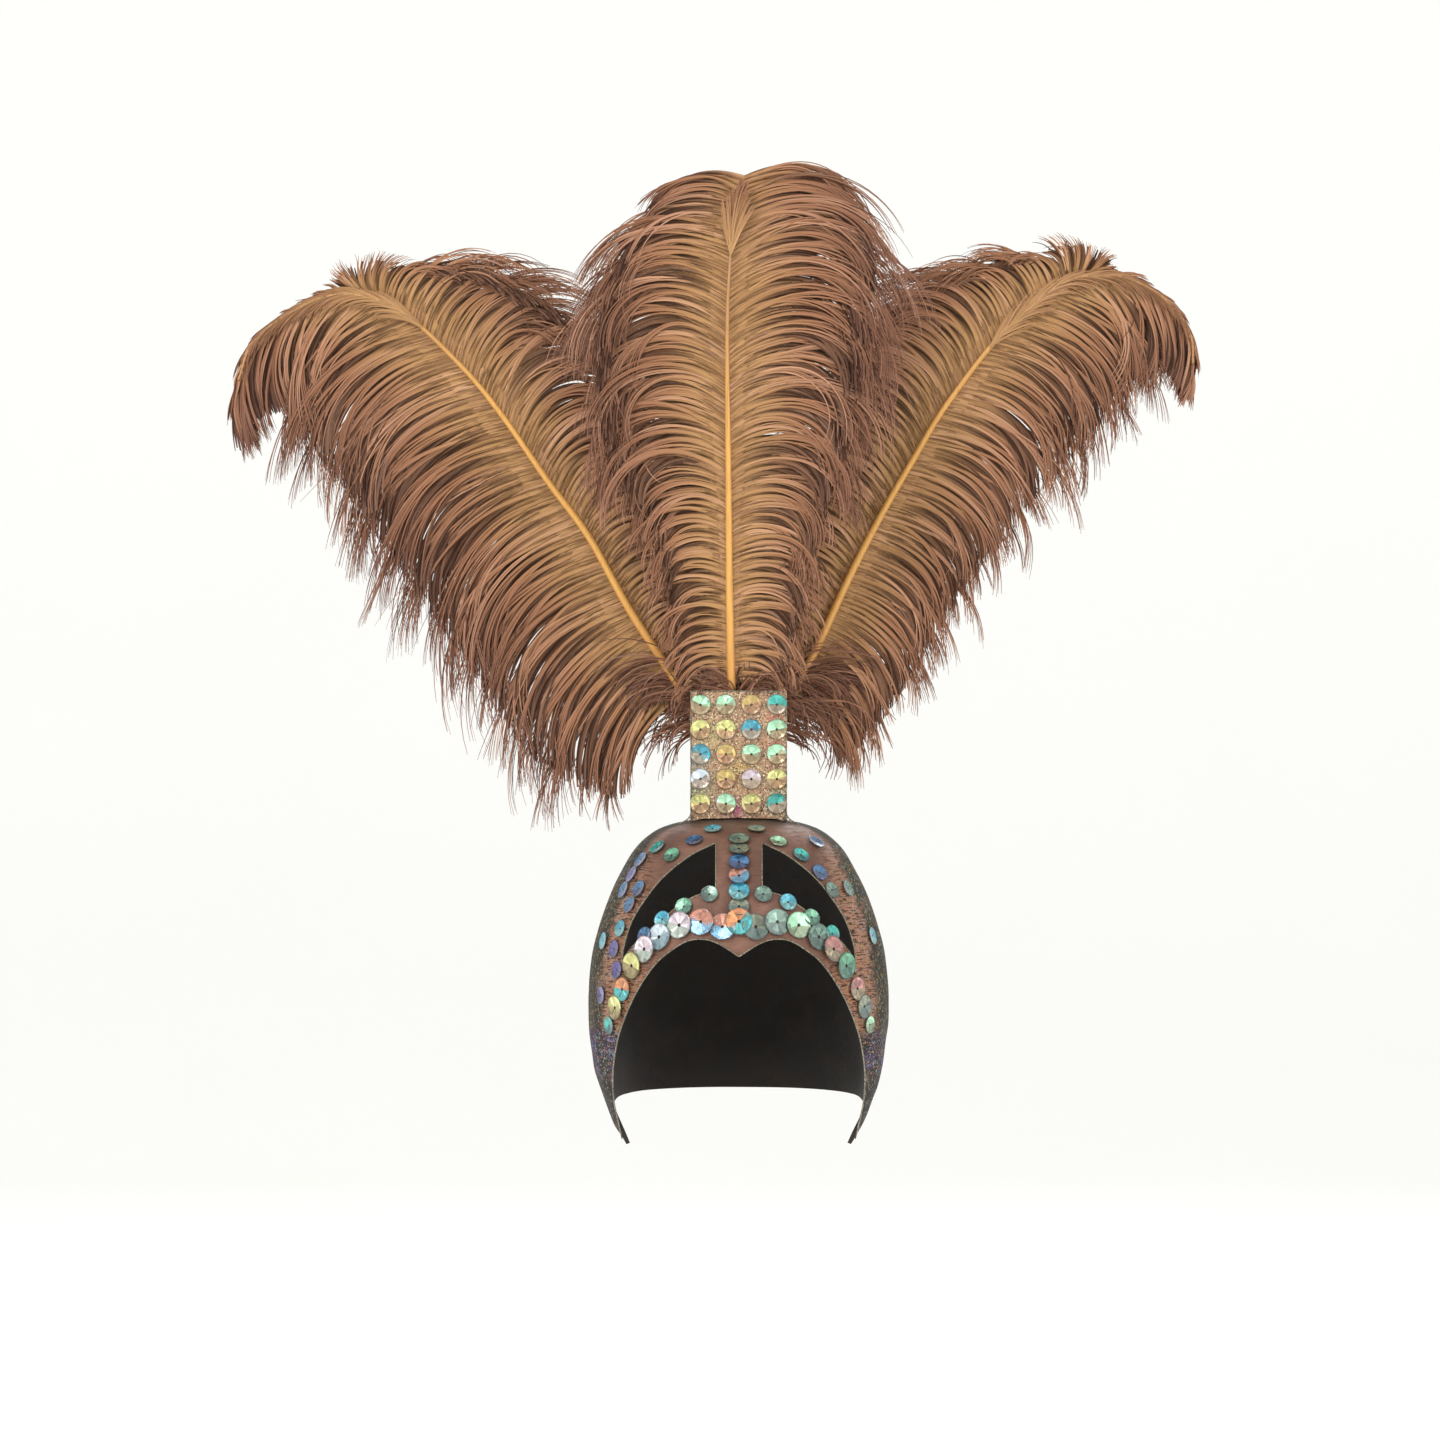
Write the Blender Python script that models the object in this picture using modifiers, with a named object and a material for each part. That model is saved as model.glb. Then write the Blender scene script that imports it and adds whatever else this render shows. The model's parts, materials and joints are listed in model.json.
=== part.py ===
"""Feathered headdress: three ostrich plumes in a sequinned holder on an open-fronted cap.

Metres, +Z up, and the front of the headdress faces -Y. The origin is the inside of the
crown, where the cap sits on the head. The cap is a cloth-covered shell with a pointed
brow, two cut windows beside a centre post, and a pointed flap in front of each ear.
"""

import math

import bmesh
import bpy
from mathutils import Matrix, Vector

OBJECT_NAME = "feathered_headdress"

# Clearances
SEAT_GAP = 0.0003
QUILL_CLEARANCE = 0.0006
VANE_SEAT_GAP = 0.0010

# Cap
CAP_WIDTH = 0.168
CAP_FRONT = 0.094
CAP_BACK = 0.106
CAP_HEIGHT = 0.181
CAP_WALL = 0.002
CAP_SQUARENESS = 2.3
CAP_SEGMENTS = 56
POST_WIDTH = 0.0254
FLAP_TIP_AHEAD = 0.030
CUT_MARGIN = 0.030

# Holder panel and the block behind it that grips the quills
PANEL_WIDTH = 0.054
PANEL_HEIGHT = 0.071
PANEL_THICKNESS = 0.0025
PANEL_AHEAD = 0.016
PANEL_FOOT_REACH = 0.006
PANEL_EDGE_ROUND = 0.0005
SOCKET_WIDTH = 0.046
SOCKET_HEIGHT = 0.034
SOCKET_DEPTH = 0.020
SOCKET_EDGE_ROUND = 0.0012

# Sequins
HOLDER_SEQUIN = 0.0115
HOLDER_SEQUIN_CUP = 0.0009
HOLDER_COLUMNS = 4
HOLDER_ROWS = 5
HOLDER_COLUMN_PITCH = 0.0142
HOLDER_ROW_PITCH = 0.0138
POST_SEQUIN = 0.0118
POST_SEQUINS = 6
POST_FIRST_DROP = 0.0120
POST_BROW_PITCH = 0.0080
BROW_SEQUIN = 0.0150
BROW_SEQUINS_A_SIDE = 6
BROW_SEQUIN_PITCH = 0.0122
BROW_EDGE_INSET = 0.0092
BROW_MIDDLE_CLEAR = 0.0040
LAID_SEQUIN_CUP = 0.0002
SEQUIN_THICKNESS = 0.0004
SEQUIN_SIDES = 12
POST_SEQUIN_TILT = 8.5
BROW_SEQUIN_TILT = 7.0

# Plumes
QUILL_THICKNESS = 0.0056
TIP_THICKNESS = 0.0012
VANE_THICKNESS = 0.0024
VANE_BOW = 0.036
BARB_LENGTH = 0.130
LOCKS_A_SIDE = 11
LOCK_STEPS = 7
JOINED_STEPS = 3
LOCK_LENGTH_CHANGE = 0.07
LOCK_TURN_GROWTH = 1.2
LOCK_BOW_GROWTH = 1.6
LOCK_NARROW_START = 0.10
LOCK_NARROW_CHANGE = 0.62
LOCK_NARROW_GROWTH = 1.3
SHAFT_POINTS = 22
QUILL_STRAIGHT_SHARE = 0.06
SIDE_FIRST_LOCK = 0.125
CENTRE_FIRST_LOCK = 0.175
CENTRE_RISE = 0.362
CENTRE_LEAN = 0.0064
CENTRE_SWEEP = 0.022
CENTRE_SEAT = -0.0085
LEFT_RISE = 0.297
LEFT_REACH = 0.281
LEFT_SWEEP = 0.026
LEFT_SEAT = 0.0005
RIGHT_RISE = 0.307
RIGHT_REACH = 0.255
RIGHT_SWEEP = 0.026
RIGHT_SEAT = 0.0005

# Fineness of curves and of the steps that read them
MERGE_DISTANCE = 0.00001
SURFACE_STEP = 0.002
WIDEST_SHARE = 0.999
POST_SAMPLES = 80
BROW_SAMPLES = 600
SHAFT_SAMPLES = 160
HEADING_SHARE = 0.01
LOCK_SAMPLES = 24
BORE_SEGMENTS = 12
SMOOTH_ANGLE = 40

# Sections of the cap. Columns: drop below the crown as a share of CAP_HEIGHT, then the half
# width, the front depth and the back depth as shares of their largest values.
CAP_SECTIONS = (
    (0.000, 0.00, 0.00, 0.00),
    (0.006, 0.30, 0.27, 0.25),
    (0.022, 0.47, 0.44, 0.40),
    (0.050, 0.59, 0.58, 0.53),
    (0.100, 0.70, 0.72, 0.68),
    (0.180, 0.80, 0.84, 0.82),
    (0.280, 0.89, 0.93, 0.93),
    (0.400, 0.965, 0.985, 0.99),
    (0.550, 1.00, 1.00, 0.98),
    (0.680, 0.985, 0.99, 0.91),
    (0.800, 0.94, 0.97, 0.83),
    (0.900, 0.87, 0.94, 0.78),
    (1.000, 0.775, 0.90, 0.74),
)

# Edge of the face opening seen from the front. Columns: distance from the middle as a share
# of the half width, and drop as a share of CAP_HEIGHT.
FACE_EDGE = (
    (0.000, 0.412),
    (0.130, 0.374),
    (0.230, 0.360),
    (0.333, 0.365),
    (0.437, 0.393),
    (0.537, 0.432),
    (0.639, 0.498),
    (0.721, 0.572),
    (0.783, 0.650),
    (0.813, 0.715),
    (0.827, 0.773),
    (0.823, 0.857),
    (0.792, 0.934),
    (0.765, 1.000),
)

# Edge of a window from the post outwards along the arch to its low corner, and back along
# the brow. Columns as in FACE_EDGE; the post's own edge comes from POST_WIDTH.
WINDOW_ARCH = (
    (0.313, 0.108),
    (0.477, 0.167),
    (0.597, 0.232),
    (0.700, 0.309),
    (0.752, 0.385),
    (0.765, 0.436),
)
WINDOW_BROW = (
    (0.723, 0.402),
    (0.637, 0.356),
    (0.537, 0.319),
    (0.417, 0.269),
    (0.290, 0.232),
)
WINDOW_POST_TOP = 0.071
WINDOW_POST_FOOT = 0.213

# Hem behind the flap tip, seen from the side. Columns: distance behind the crown as a share
# of CAP_BACK, and drop as a share of CAP_HEIGHT.
HEM_EDGE = (
    (-0.14, 0.950),
    (0.08, 0.905),
    (0.40, 0.868),
    (1.00, 0.850),
)

# Paths of the three shafts. Columns: distance to the side as a share of the plume's reach,
# height as a share of its rise, and depth behind its seat as a share of its sweep.
CENTRE_PATH = (
    (-0.30, 0.045, 0.00),
    (-0.62, 0.205, 0.00),
    (-0.80, 0.360, 0.02),
    (-0.88, 0.530, 0.04),
    (-1.00, 0.750, 0.12),
    (-0.75, 0.865, 0.30),
    (-0.22, 0.952, 0.62),
    (0.56, 1.000, 1.00),
)
LEFT_PATH = (
    (0.036, 0.074, 0.00),
    (0.097, 0.220, 0.16),
    (0.216, 0.397, 0.40),
    (0.300, 0.539, 0.60),
    (0.381, 0.643, 0.76),
    (0.473, 0.768, 0.90),
    (0.555, 0.862, 0.98),
    (0.676, 0.966, 0.98),
    (0.790, 1.000, 0.88),
    (0.893, 0.966, 0.74),
    (0.972, 0.906, 0.60),
    (1.000, 0.835, 0.50),
)
RIGHT_PATH = (
    (0.039, 0.065, 0.00),
    (0.102, 0.200, 0.20),
    (0.175, 0.322, 0.45),
    (0.245, 0.448, 0.70),
    (0.315, 0.561, 0.85),
    (0.390, 0.669, 0.95),
    (0.458, 0.762, 1.00),
    (0.581, 0.893, 1.00),
    (0.715, 0.986, 0.90),
    (0.816, 1.000, 0.75),
    (0.884, 0.986, 0.65),
    (0.956, 0.944, 0.50),
    (0.996, 0.888, 0.38),
    (1.000, 0.837, 0.30),
)

# Locks along a shaft. Columns: station as a share of the feathered stretch, then for the
# left side and for the right side the length as a share of BARB_LENGTH, the angle at which
# the lock leaves the shaft, and the angle through which it turns to its tip, in degrees.
CENTRE_LOCKS = (
    (0.00, 0.36, 78, 60, 0.42, 78, -60),
    (0.12, 0.56, 66, 85, 0.82, 64, -92),
    (0.30, 0.74, 56, 112, 0.94, 58, -112),
    (0.50, 0.84, 50, 124, 0.92, 52, -120),
    (0.70, 0.86, 50, 120, 0.92, 48, -120),
    (0.86, 0.74, 68, 84, 0.86, 50, -104),
    (1.00, 0.42, 72, 62, 0.62, 40, -84),
)
LEFT_LOCKS = (
    (0.00, 0.66, 98, 44, 0.18, 62, -40),
    (0.12, 1.00, 84, 60, 0.32, 58, -80),
    (0.30, 1.08, 72, 70, 0.58, 54, -104),
    (0.50, 1.04, 64, 70, 0.76, 44, -112),
    (0.66, 0.96, 55, 72, 0.44, 28, -84),
    (0.76, 0.84, 46, 66, 0.18, 12, 0),
    (0.92, 0.56, 20, 50, 0.12, 6, 28),
    (1.00, 0.38, 5, 26, 0.20, 4, 22),
)
RIGHT_LOCKS = (
    (0.00, 0.18, 62, 40, 0.48, 98, -42),
    (0.12, 0.32, 58, 80, 0.58, 84, -60),
    (0.30, 0.58, 54, 104, 0.64, 72, -68),
    (0.50, 0.74, 44, 112, 0.74, 64, -66),
    (0.66, 0.44, 28, 84, 0.78, 54, -68),
    (0.76, 0.18, 12, 0, 0.70, 44, -60),
    (0.92, 0.12, 6, -28, 0.46, 20, -44),
    (1.00, 0.18, 4, -22, 0.26, 5, -24),
)

# Name, path, locks, rise, reach, sweep, seat, side of the reach and first feathered point
# as a share of the shaft.
PLUMES = (
    (
        "left",
        LEFT_PATH,
        LEFT_LOCKS,
        LEFT_RISE,
        LEFT_REACH,
        LEFT_SWEEP,
        LEFT_SEAT,
        -1,
        SIDE_FIRST_LOCK,
    ),
    (
        "centre",
        CENTRE_PATH,
        CENTRE_LOCKS,
        CENTRE_RISE,
        CENTRE_LEAN,
        CENTRE_SWEEP,
        CENTRE_SEAT,
        1,
        CENTRE_FIRST_LOCK,
    ),
    (
        "right",
        RIGHT_PATH,
        RIGHT_LOCKS,
        RIGHT_RISE,
        RIGHT_REACH,
        RIGHT_SWEEP,
        RIGHT_SEAT,
        1,
        SIDE_FIRST_LOCK,
    ),
)

# Finishes: colour, metallic, roughness
SATIN = ((0.33, 0.20, 0.15), 0.35, 0.38)
GLITTER_CLOTH = ((0.42, 0.30, 0.24), 0.40, 0.40)
BLOCK_FELT = ((0.05, 0.035, 0.025), 0.0, 0.9)
QUILL = ((0.72, 0.43, 0.13), 0.0, 0.45)
PLUME = ((0.36, 0.20, 0.12), 0.0, 0.8)
SEQUIN_MINT = ((0.42, 0.80, 0.66), 0.7, 0.18)
SEQUIN_TEAL = ((0.20, 0.58, 0.62), 0.7, 0.18)
SEQUIN_GOLD = ((0.72, 0.66, 0.34), 0.7, 0.18)


def clear_scene():
    """Remove every object of the open scene."""
    for item in list(bpy.data.objects):
        bpy.data.objects.remove(item, do_unlink=True)


def new_collection(name):
    """Make a collection in the scene."""
    collection = bpy.data.collections.new(name)
    bpy.context.scene.collection.children.link(collection)
    return collection


def finish_material(name, finish):
    """Make a plain material from a finish."""
    colour, metallic, roughness = finish
    material = bpy.data.materials.new(name)
    material.use_nodes = True
    shader = material.node_tree.nodes["Principled BSDF"]
    shader.inputs["Base Color"].default_value = (*colour, 1.0)
    shader.inputs["Metallic"].default_value = metallic
    shader.inputs["Roughness"].default_value = roughness
    return material


def table_value(table, at, column):
    """Read a column of a table at a value of its first column, straight between its rows."""
    if at <= table[0][0]:
        return table[0][column]
    for low, high in zip(table, table[1:]):
        if at <= high[0]:
            share = (at - low[0]) / (high[0] - low[0])
            return low[column] + (high[column] - low[column]) * share
    return table[-1][column]


def crown_z():
    """Height of the outside of the crown."""
    return CAP_WALL


def half_section(drop):
    """Half width, front depth and back depth of the cap's outside at a drop share."""
    half_width = CAP_WIDTH / 2 * table_value(CAP_SECTIONS, drop, 1)
    front = CAP_FRONT * table_value(CAP_SECTIONS, drop, 2)
    back = CAP_BACK * table_value(CAP_SECTIONS, drop, 3)
    return half_width, front, back


def cap_front_point(across, drop):
    """Point of the cap's outside in front, at a distance from the middle and a drop share."""
    half_width, front, _ = half_section(drop)
    share = min(abs(across) / half_width, WIDEST_SHARE)
    depth = front * (1 - share**CAP_SQUARENESS) ** (1 / CAP_SQUARENESS)
    return Vector((across, -depth, crown_z() - drop * CAP_HEIGHT))


def cap_front_frame(across, drop):
    """Point, outward normal and downward tangent of the cap's outside in front."""
    point = cap_front_point(across, drop)
    side = cap_front_point(across + SURFACE_STEP, drop) - cap_front_point(across - SURFACE_STEP, drop)
    share = SURFACE_STEP / CAP_HEIGHT
    down = cap_front_point(across, drop + share) - cap_front_point(across, drop - share)
    normal = down.cross(side).normalized()
    if normal.y > 0:
        normal.negate()
    return point, normal, down.normalized()


def add_object(name, mesh, collection, material=None):
    """Put a mesh into a collection as a named object."""
    item = bpy.data.objects.new(name, mesh)
    collection.objects.link(item)
    if material is not None:
        mesh.materials.append(material)
    return item


def shade_round(mesh):
    """Shade a mesh smooth but for its sharp edges."""
    mesh.shade_smooth()
    mesh.set_sharp_from_angle(angle=math.radians(SMOOTH_ANGLE))


def outline_cutter(name, outline, axis, start, end, collection):
    """Make a prism from a flat outline, running along axis Y or X from start to end."""
    curve = bpy.data.curves.new(name, "CURVE")
    curve.dimensions = "2D"
    curve.fill_mode = "BOTH"
    curve.extrude = (end - start) / 2
    spline = curve.splines.new("POLY")
    spline.points.add(len(outline) - 1)
    for point, (first, second) in zip(spline.points, outline):
        point.co = (first, second, 0, 1)
    spline.use_cyclic_u = True
    guide = bpy.data.objects.new(name + "_outline", curve)
    collection.objects.link(guide)
    guide.rotation_euler = (math.pi / 2, 0, 0 if axis == "Y" else math.pi / 2)
    middle = (start + end) / 2
    guide.location = (0, middle, 0) if axis == "Y" else (middle, 0, 0)
    bpy.context.view_layer.update()
    mesh = bpy.data.meshes.new_from_object(guide.evaluated_get(bpy.context.evaluated_depsgraph_get()))
    shape = bmesh.new()
    shape.from_mesh(mesh)
    bmesh.ops.remove_doubles(shape, verts=shape.verts, dist=MERGE_DISTANCE)
    bmesh.ops.recalc_face_normals(shape, faces=shape.faces)
    shape.to_mesh(mesh)
    shape.free()
    cutter = bpy.data.objects.new(name, mesh)
    collection.objects.link(cutter)
    cutter.matrix_world = guide.matrix_world.copy()
    bpy.data.objects.remove(guide, do_unlink=True)
    hide_cutter(cutter)
    return cutter


def hide_cutter(cutter):
    """Mark an object as a cutter that is never part of the model."""
    cutter.hide_render = True
    cutter.display_type = "WIRE"


def cut(item, cutter):
    """Cut one object out of another."""
    modifier = item.modifiers.new("cut_" + cutter.name, "BOOLEAN")
    modifier.operation = "DIFFERENCE"
    modifier.solver = "EXACT"
    modifier.object = cutter


def front_outline(rows, side=1):
    """Turn shares of half width and height into points of the front view."""
    return [(side * across * CAP_WIDTH / 2, crown_z() - drop * CAP_HEIGHT) for across, drop in rows]


def cap_skin(grow=0.0):
    """Loft the cap's outside through its sections, grown outwards, open at the bottom."""
    shape = bmesh.new()
    pole = shape.verts.new((0, 0, crown_z() + grow))
    rings = []
    for row in CAP_SECTIONS[1:]:
        half_width, front, back = (size + grow for size in half_section(row[0]))
        height = crown_z() + grow - row[0] * CAP_HEIGHT
        ring = []
        for step in range(CAP_SEGMENTS):
            turn = 2 * math.pi * step / CAP_SEGMENTS
            across = math.copysign(abs(math.sin(turn)) ** (2 / CAP_SQUARENESS), math.sin(turn))
            along = math.copysign(abs(math.cos(turn)) ** (2 / CAP_SQUARENESS), math.cos(turn))
            depth = front if along > 0 else back
            ring.append(shape.verts.new((half_width * across, -depth * along, height)))
        rings.append(ring)
    for step in range(CAP_SEGMENTS):
        after = (step + 1) % CAP_SEGMENTS
        shape.faces.new((pole, rings[0][step], rings[0][after]))
        for upper, lower in zip(rings, rings[1:]):
            shape.faces.new((upper[step], lower[step], lower[after], upper[after]))
    bmesh.ops.recalc_face_normals(shape, faces=shape.faces)
    if shape.faces[0].normal.z < 0:
        bmesh.ops.reverse_faces(shape, faces=shape.faces)
    return shape, rings


def build_cap(parts, cutters):
    """Build the cap: a dome with flaps, open for the face and cut by two windows."""
    shape, _ = cap_skin()
    mesh = bpy.data.meshes.new("cap_shell")
    shape.to_mesh(mesh)
    shape.free()
    shade_round(mesh)
    cap = add_object("cap_shell", mesh, parts, finish_material("cap_satin", SATIN))

    wall = cap.modifiers.new("wall", "SOLIDIFY")
    wall.thickness = CAP_WALL
    wall.offset = -1

    below = 1.0 + CUT_MARGIN / CAP_HEIGHT
    right_edge = front_outline(FACE_EDGE)
    right_edge.append((FACE_EDGE[-1][0] * CAP_WIDTH / 2, crown_z() - below * CAP_HEIGHT))
    left_edge = [(-across, height) for across, height in reversed(right_edge[1:])]
    face = outline_cutter(
        "face_cutter", right_edge + left_edge, "Y", -CAP_FRONT - CUT_MARGIN, -FLAP_TIP_AHEAD, cutters
    )
    cut(cap, face)

    post_share = POST_WIDTH / CAP_WIDTH
    window = ((post_share, WINDOW_POST_TOP), *WINDOW_ARCH, *WINDOW_BROW, (post_share, WINDOW_POST_FOOT))
    for name, side in (("left_window_cutter", -1), ("right_window_cutter", 1)):
        outline = front_outline(window, side)
        cutter = outline_cutter(name, outline, "Y", -CAP_FRONT - CUT_MARGIN, -FLAP_TIP_AHEAD, cutters)
        cut(cap, cutter)

    hem = [(-FLAP_TIP_AHEAD, crown_z() - CAP_HEIGHT)]
    hem += [(behind * CAP_BACK, crown_z() - drop * CAP_HEIGHT) for behind, drop in HEM_EDGE]
    far = CAP_BACK + CUT_MARGIN
    floor = crown_z() - below * CAP_HEIGHT
    hem += [(far, hem[-1][1]), (far, floor), (-FLAP_TIP_AHEAD, floor)]
    half = CAP_WIDTH / 2 + CUT_MARGIN
    cut(cap, outline_cutter("hem_cutter", hem, "X", -half, half, cutters))
    return cap


def rounded_box(name, size, centre, radius, collection, material):
    """Make a box with rounded edges."""
    shape = bmesh.new()
    bmesh.ops.create_cube(shape, size=1.0)
    bmesh.ops.scale(shape, vec=size, verts=shape.verts)
    mesh = bpy.data.meshes.new(name)
    shape.to_mesh(mesh)
    shape.free()
    item = add_object(name, mesh, collection, material)
    item.location = centre
    bevel = item.modifiers.new("rounded_edges", "BEVEL")
    bevel.width = radius
    bevel.segments = 1
    bevel.limit_method = "ANGLE"
    return item


def panel_top():
    """Height of the holder panel's top edge."""
    return crown_z() + SEAT_GAP + PANEL_HEIGHT


def panel_back():
    """Depth of the holder panel's back face."""
    return -PANEL_AHEAD + PANEL_THICKNESS


def crown_cutter(cutters):
    """Make the cap's outer form, grown by the seat gap, that shapes what stands on the crown."""
    shape, rings = cap_skin(SEAT_GAP)
    shape.faces.new(rings[-1])
    bmesh.ops.recalc_face_normals(shape, faces=shape.faces)
    mesh = bpy.data.meshes.new("crown_cutter")
    shape.to_mesh(mesh)
    shape.free()
    cutter = add_object("crown_cutter", mesh, cutters)
    hide_cutter(cutter)
    return cutter


def standing_block(name, width, depth, height, front, radius, material, parts, cutter):
    """Build a block that stands on the crown, its foot shaped to the crown."""
    foot = crown_z() - PANEL_FOOT_REACH
    top = crown_z() + SEAT_GAP + height
    item = rounded_box(
        name,
        (width, depth, top - foot),
        (0, front + depth / 2, (top + foot) / 2),
        radius,
        parts,
        material,
    )
    cut(item, cutter)
    return item


def build_holder(parts, cutters):
    """Build the upright panel and the block behind it, and return the block."""
    crown = crown_cutter(cutters)
    cloth = finish_material("holder_glitter_cloth", GLITTER_CLOTH)
    felt = finish_material("socket_felt", BLOCK_FELT)
    standing_block(
        "holder_panel",
        PANEL_WIDTH,
        PANEL_THICKNESS,
        PANEL_HEIGHT,
        -PANEL_AHEAD,
        PANEL_EDGE_ROUND,
        cloth,
        parts,
        crown,
    )
    return standing_block(
        "quill_socket",
        SOCKET_WIDTH,
        SOCKET_DEPTH,
        SOCKET_HEIGHT,
        panel_back() + SEAT_GAP,
        SOCKET_EDGE_ROUND,
        felt,
        parts,
        crown,
    )


def spline_point(points, share):
    """Point of a smooth curve through points, at a share of its length in spans."""
    spans = len(points) - 1
    place = min(max(share, 0.0), 1.0) * spans
    index = min(int(place), spans - 1)
    part = place - index
    here = points[index]
    there = points[index + 1]
    before = points[index - 1] if index > 0 else here * 2 - there
    after = points[index + 2] if index + 2 <= spans else there * 2 - here
    return 0.5 * (
        here * 2
        + (there - before) * part
        + (before * 2 - here * 5 + there * 4 - after) * part**2
        + (here * 3 - before - there * 3 + after) * part**3
    )


class Shaft:
    """The curved centre line of one plume, read by a share of its length."""

    def __init__(self, path, rise, reach, sweep, seat, side):
        points = [
            Vector((side * across * reach, seat + back * sweep, up * rise)) for across, up, back in path
        ]
        self.samples = [spline_point(points, step / SHAFT_SAMPLES) for step in range(SHAFT_SAMPLES + 1)]
        self.lengths = [0.0]
        for here, there in zip(self.samples, self.samples[1:]):
            self.lengths.append(self.lengths[-1] + (there - here).length)

    def point(self, share):
        """Point at a share of the length."""
        target = min(max(share, 0.0), 1.0) * self.lengths[-1]
        for index in range(1, len(self.lengths)):
            if self.lengths[index] >= target:
                span = self.lengths[index] - self.lengths[index - 1]
                part = (target - self.lengths[index - 1]) / span
                return self.samples[index - 1].lerp(self.samples[index], part)
        return self.samples[-1].copy()

    def heading(self, share):
        """Angle of the shaft in the front view at a share of the length."""
        ahead = self.point(share + HEADING_SHARE) - self.point(share - HEADING_SHARE)
        return math.atan2(ahead.z, ahead.x)

    @staticmethod
    def radius(share):
        """Half thickness at a share of the length."""
        return (QUILL_THICKNESS + (TIP_THICKNESS - QUILL_THICKNESS) * share) / 2


def build_shaft(name, shaft, parts, material):
    """Build a plume's shaft as a tapering tube."""
    curve = bpy.data.curves.new(name, "CURVE")
    curve.dimensions = "3D"
    curve.bevel_depth = 1.0
    curve.bevel_resolution = 2
    curve.use_fill_caps = True
    spline = curve.splines.new("POLY")
    spline.points.add(SHAFT_POINTS - 1)
    for index, point in enumerate(spline.points):
        share = index / (SHAFT_POINTS - 1)
        point.co = (*shaft.point(share), 1)
        point.radius = shaft.radius(share)
    item = bpy.data.objects.new(name, curve)
    parts.objects.link(item)
    curve.materials.append(material)
    return item


def lock_point(shaft, first, station, locks, side, along):
    """Point of a lock's line, at a share along it, for one side of a plume."""
    column = 1 if side < 0 else 4
    length = BARB_LENGTH * table_value(locks, station, column)
    leave = math.radians(table_value(locks, station, column + 1))
    turn = math.radians(table_value(locks, station, column + 2))
    place = first + (1 - first) * station
    start = shaft.point(place)
    heading = shaft.heading(place) + (leave if side < 0 else -leave)
    across, up = 0.0, 0.0
    for step in range(LOCK_SAMPLES):
        part = (step + 0.5) / LOCK_SAMPLES * along
        angle = heading + turn * part**LOCK_TURN_GROWTH
        across += math.cos(angle) * length * along / LOCK_SAMPLES
        up += math.sin(angle) * length * along / LOCK_SAMPLES
    behind = shaft.radius(place) + VANE_SEAT_GAP + VANE_THICKNESS / 2
    bow = VANE_BOW * math.sin(leave) * length / BARB_LENGTH
    depth = behind - bow * along**LOCK_BOW_GROWTH
    return start + Vector((across, depth, up))


def build_vane(name, shaft, first, locks, parts, material):
    """Build a plume's vane: a sheet behind the shaft that parts into drooping locks."""
    shape = bmesh.new()
    edges = LOCKS_A_SIDE + 1
    stations = [index / LOCKS_A_SIDE for index in range(edges)]
    spine = [shape.verts.new(lock_point(shaft, first, s, locks, 1, 0.0)) for s in stations]
    for side in (-1, 1):
        joined = [spine]
        for step in range(1, JOINED_STEPS + 1):
            along = step / LOCK_STEPS
            places = [lock_point(shaft, first, s, locks, side, along) for s in stations]
            joined.append([shape.verts.new(place) for place in places])
        for lock in range(LOCKS_A_SIDE):
            for inner, outer in zip(joined, joined[1:]):
                add_face(shape, (inner[lock], outer[lock], outer[lock + 1], inner[lock + 1]), side)
            middle = (stations[lock] + stations[lock + 1]) / 2
            longer = 1 + LOCK_LENGTH_CHANGE * (1 if lock % 2 else -1)
            before = (joined[-1][lock], joined[-1][lock + 1])
            free_steps = LOCK_STEPS - JOINED_STEPS
            for step in range(1, free_steps + 1):
                part = step / free_steps
                start = JOINED_STEPS / LOCK_STEPS
                along = start + (longer - start) * part
                core = lock_point(shaft, first, middle, locks, side, along)
                if step == free_steps:
                    tip = shape.verts.new(core)
                    add_face(shape, (before[0], tip, before[1]), side)
                    break
                narrow = LOCK_NARROW_START + LOCK_NARROW_CHANGE * part**LOCK_NARROW_GROWTH
                pair = []
                for edge in (stations[lock], stations[lock + 1]):
                    rim = lock_point(shaft, first, edge, locks, side, along)
                    pair.append(shape.verts.new(rim.lerp(core, narrow)))
                add_face(shape, (before[0], pair[0], pair[1], before[1]), side)
                before = tuple(pair)
    mesh = bpy.data.meshes.new(name)
    shape.to_mesh(mesh)
    shape.free()
    item = add_object(name, mesh, parts, material)
    wall = item.modifiers.new("thickness", "SOLIDIFY")
    wall.thickness = VANE_THICKNESS
    wall.offset = 0
    return item


def add_face(shape, corners, side):
    """Add a face of the vane that faces the front on either side of the shaft."""
    shape.faces.new(corners if side < 0 else tuple(reversed(corners)))


def bore_quill(socket, shaft, name, cutters):
    """Bore the socket for a quill with its clearance."""
    start = shaft.point(0.0)
    ahead = (shaft.point(QUILL_STRAIGHT_SHARE) - start).normalized()
    length = SOCKET_HEIGHT + CUT_MARGIN
    shape = bmesh.new()
    bmesh.ops.create_cone(
        shape,
        cap_ends=True,
        segments=BORE_SEGMENTS,
        radius1=QUILL_THICKNESS / 2 + QUILL_CLEARANCE,
        radius2=QUILL_THICKNESS / 2 + QUILL_CLEARANCE,
        depth=length,
    )
    mesh = bpy.data.meshes.new(name)
    shape.to_mesh(mesh)
    shape.free()
    cutter = add_object(name, mesh, cutters)
    turn = ahead.to_track_quat("Z", "Y").to_matrix().to_4x4()
    cutter.matrix_world = Matrix.Translation(start - ahead * SEAT_GAP + ahead * length / 2) @ turn
    hide_cutter(cutter)
    cut(socket, cutter)


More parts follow.
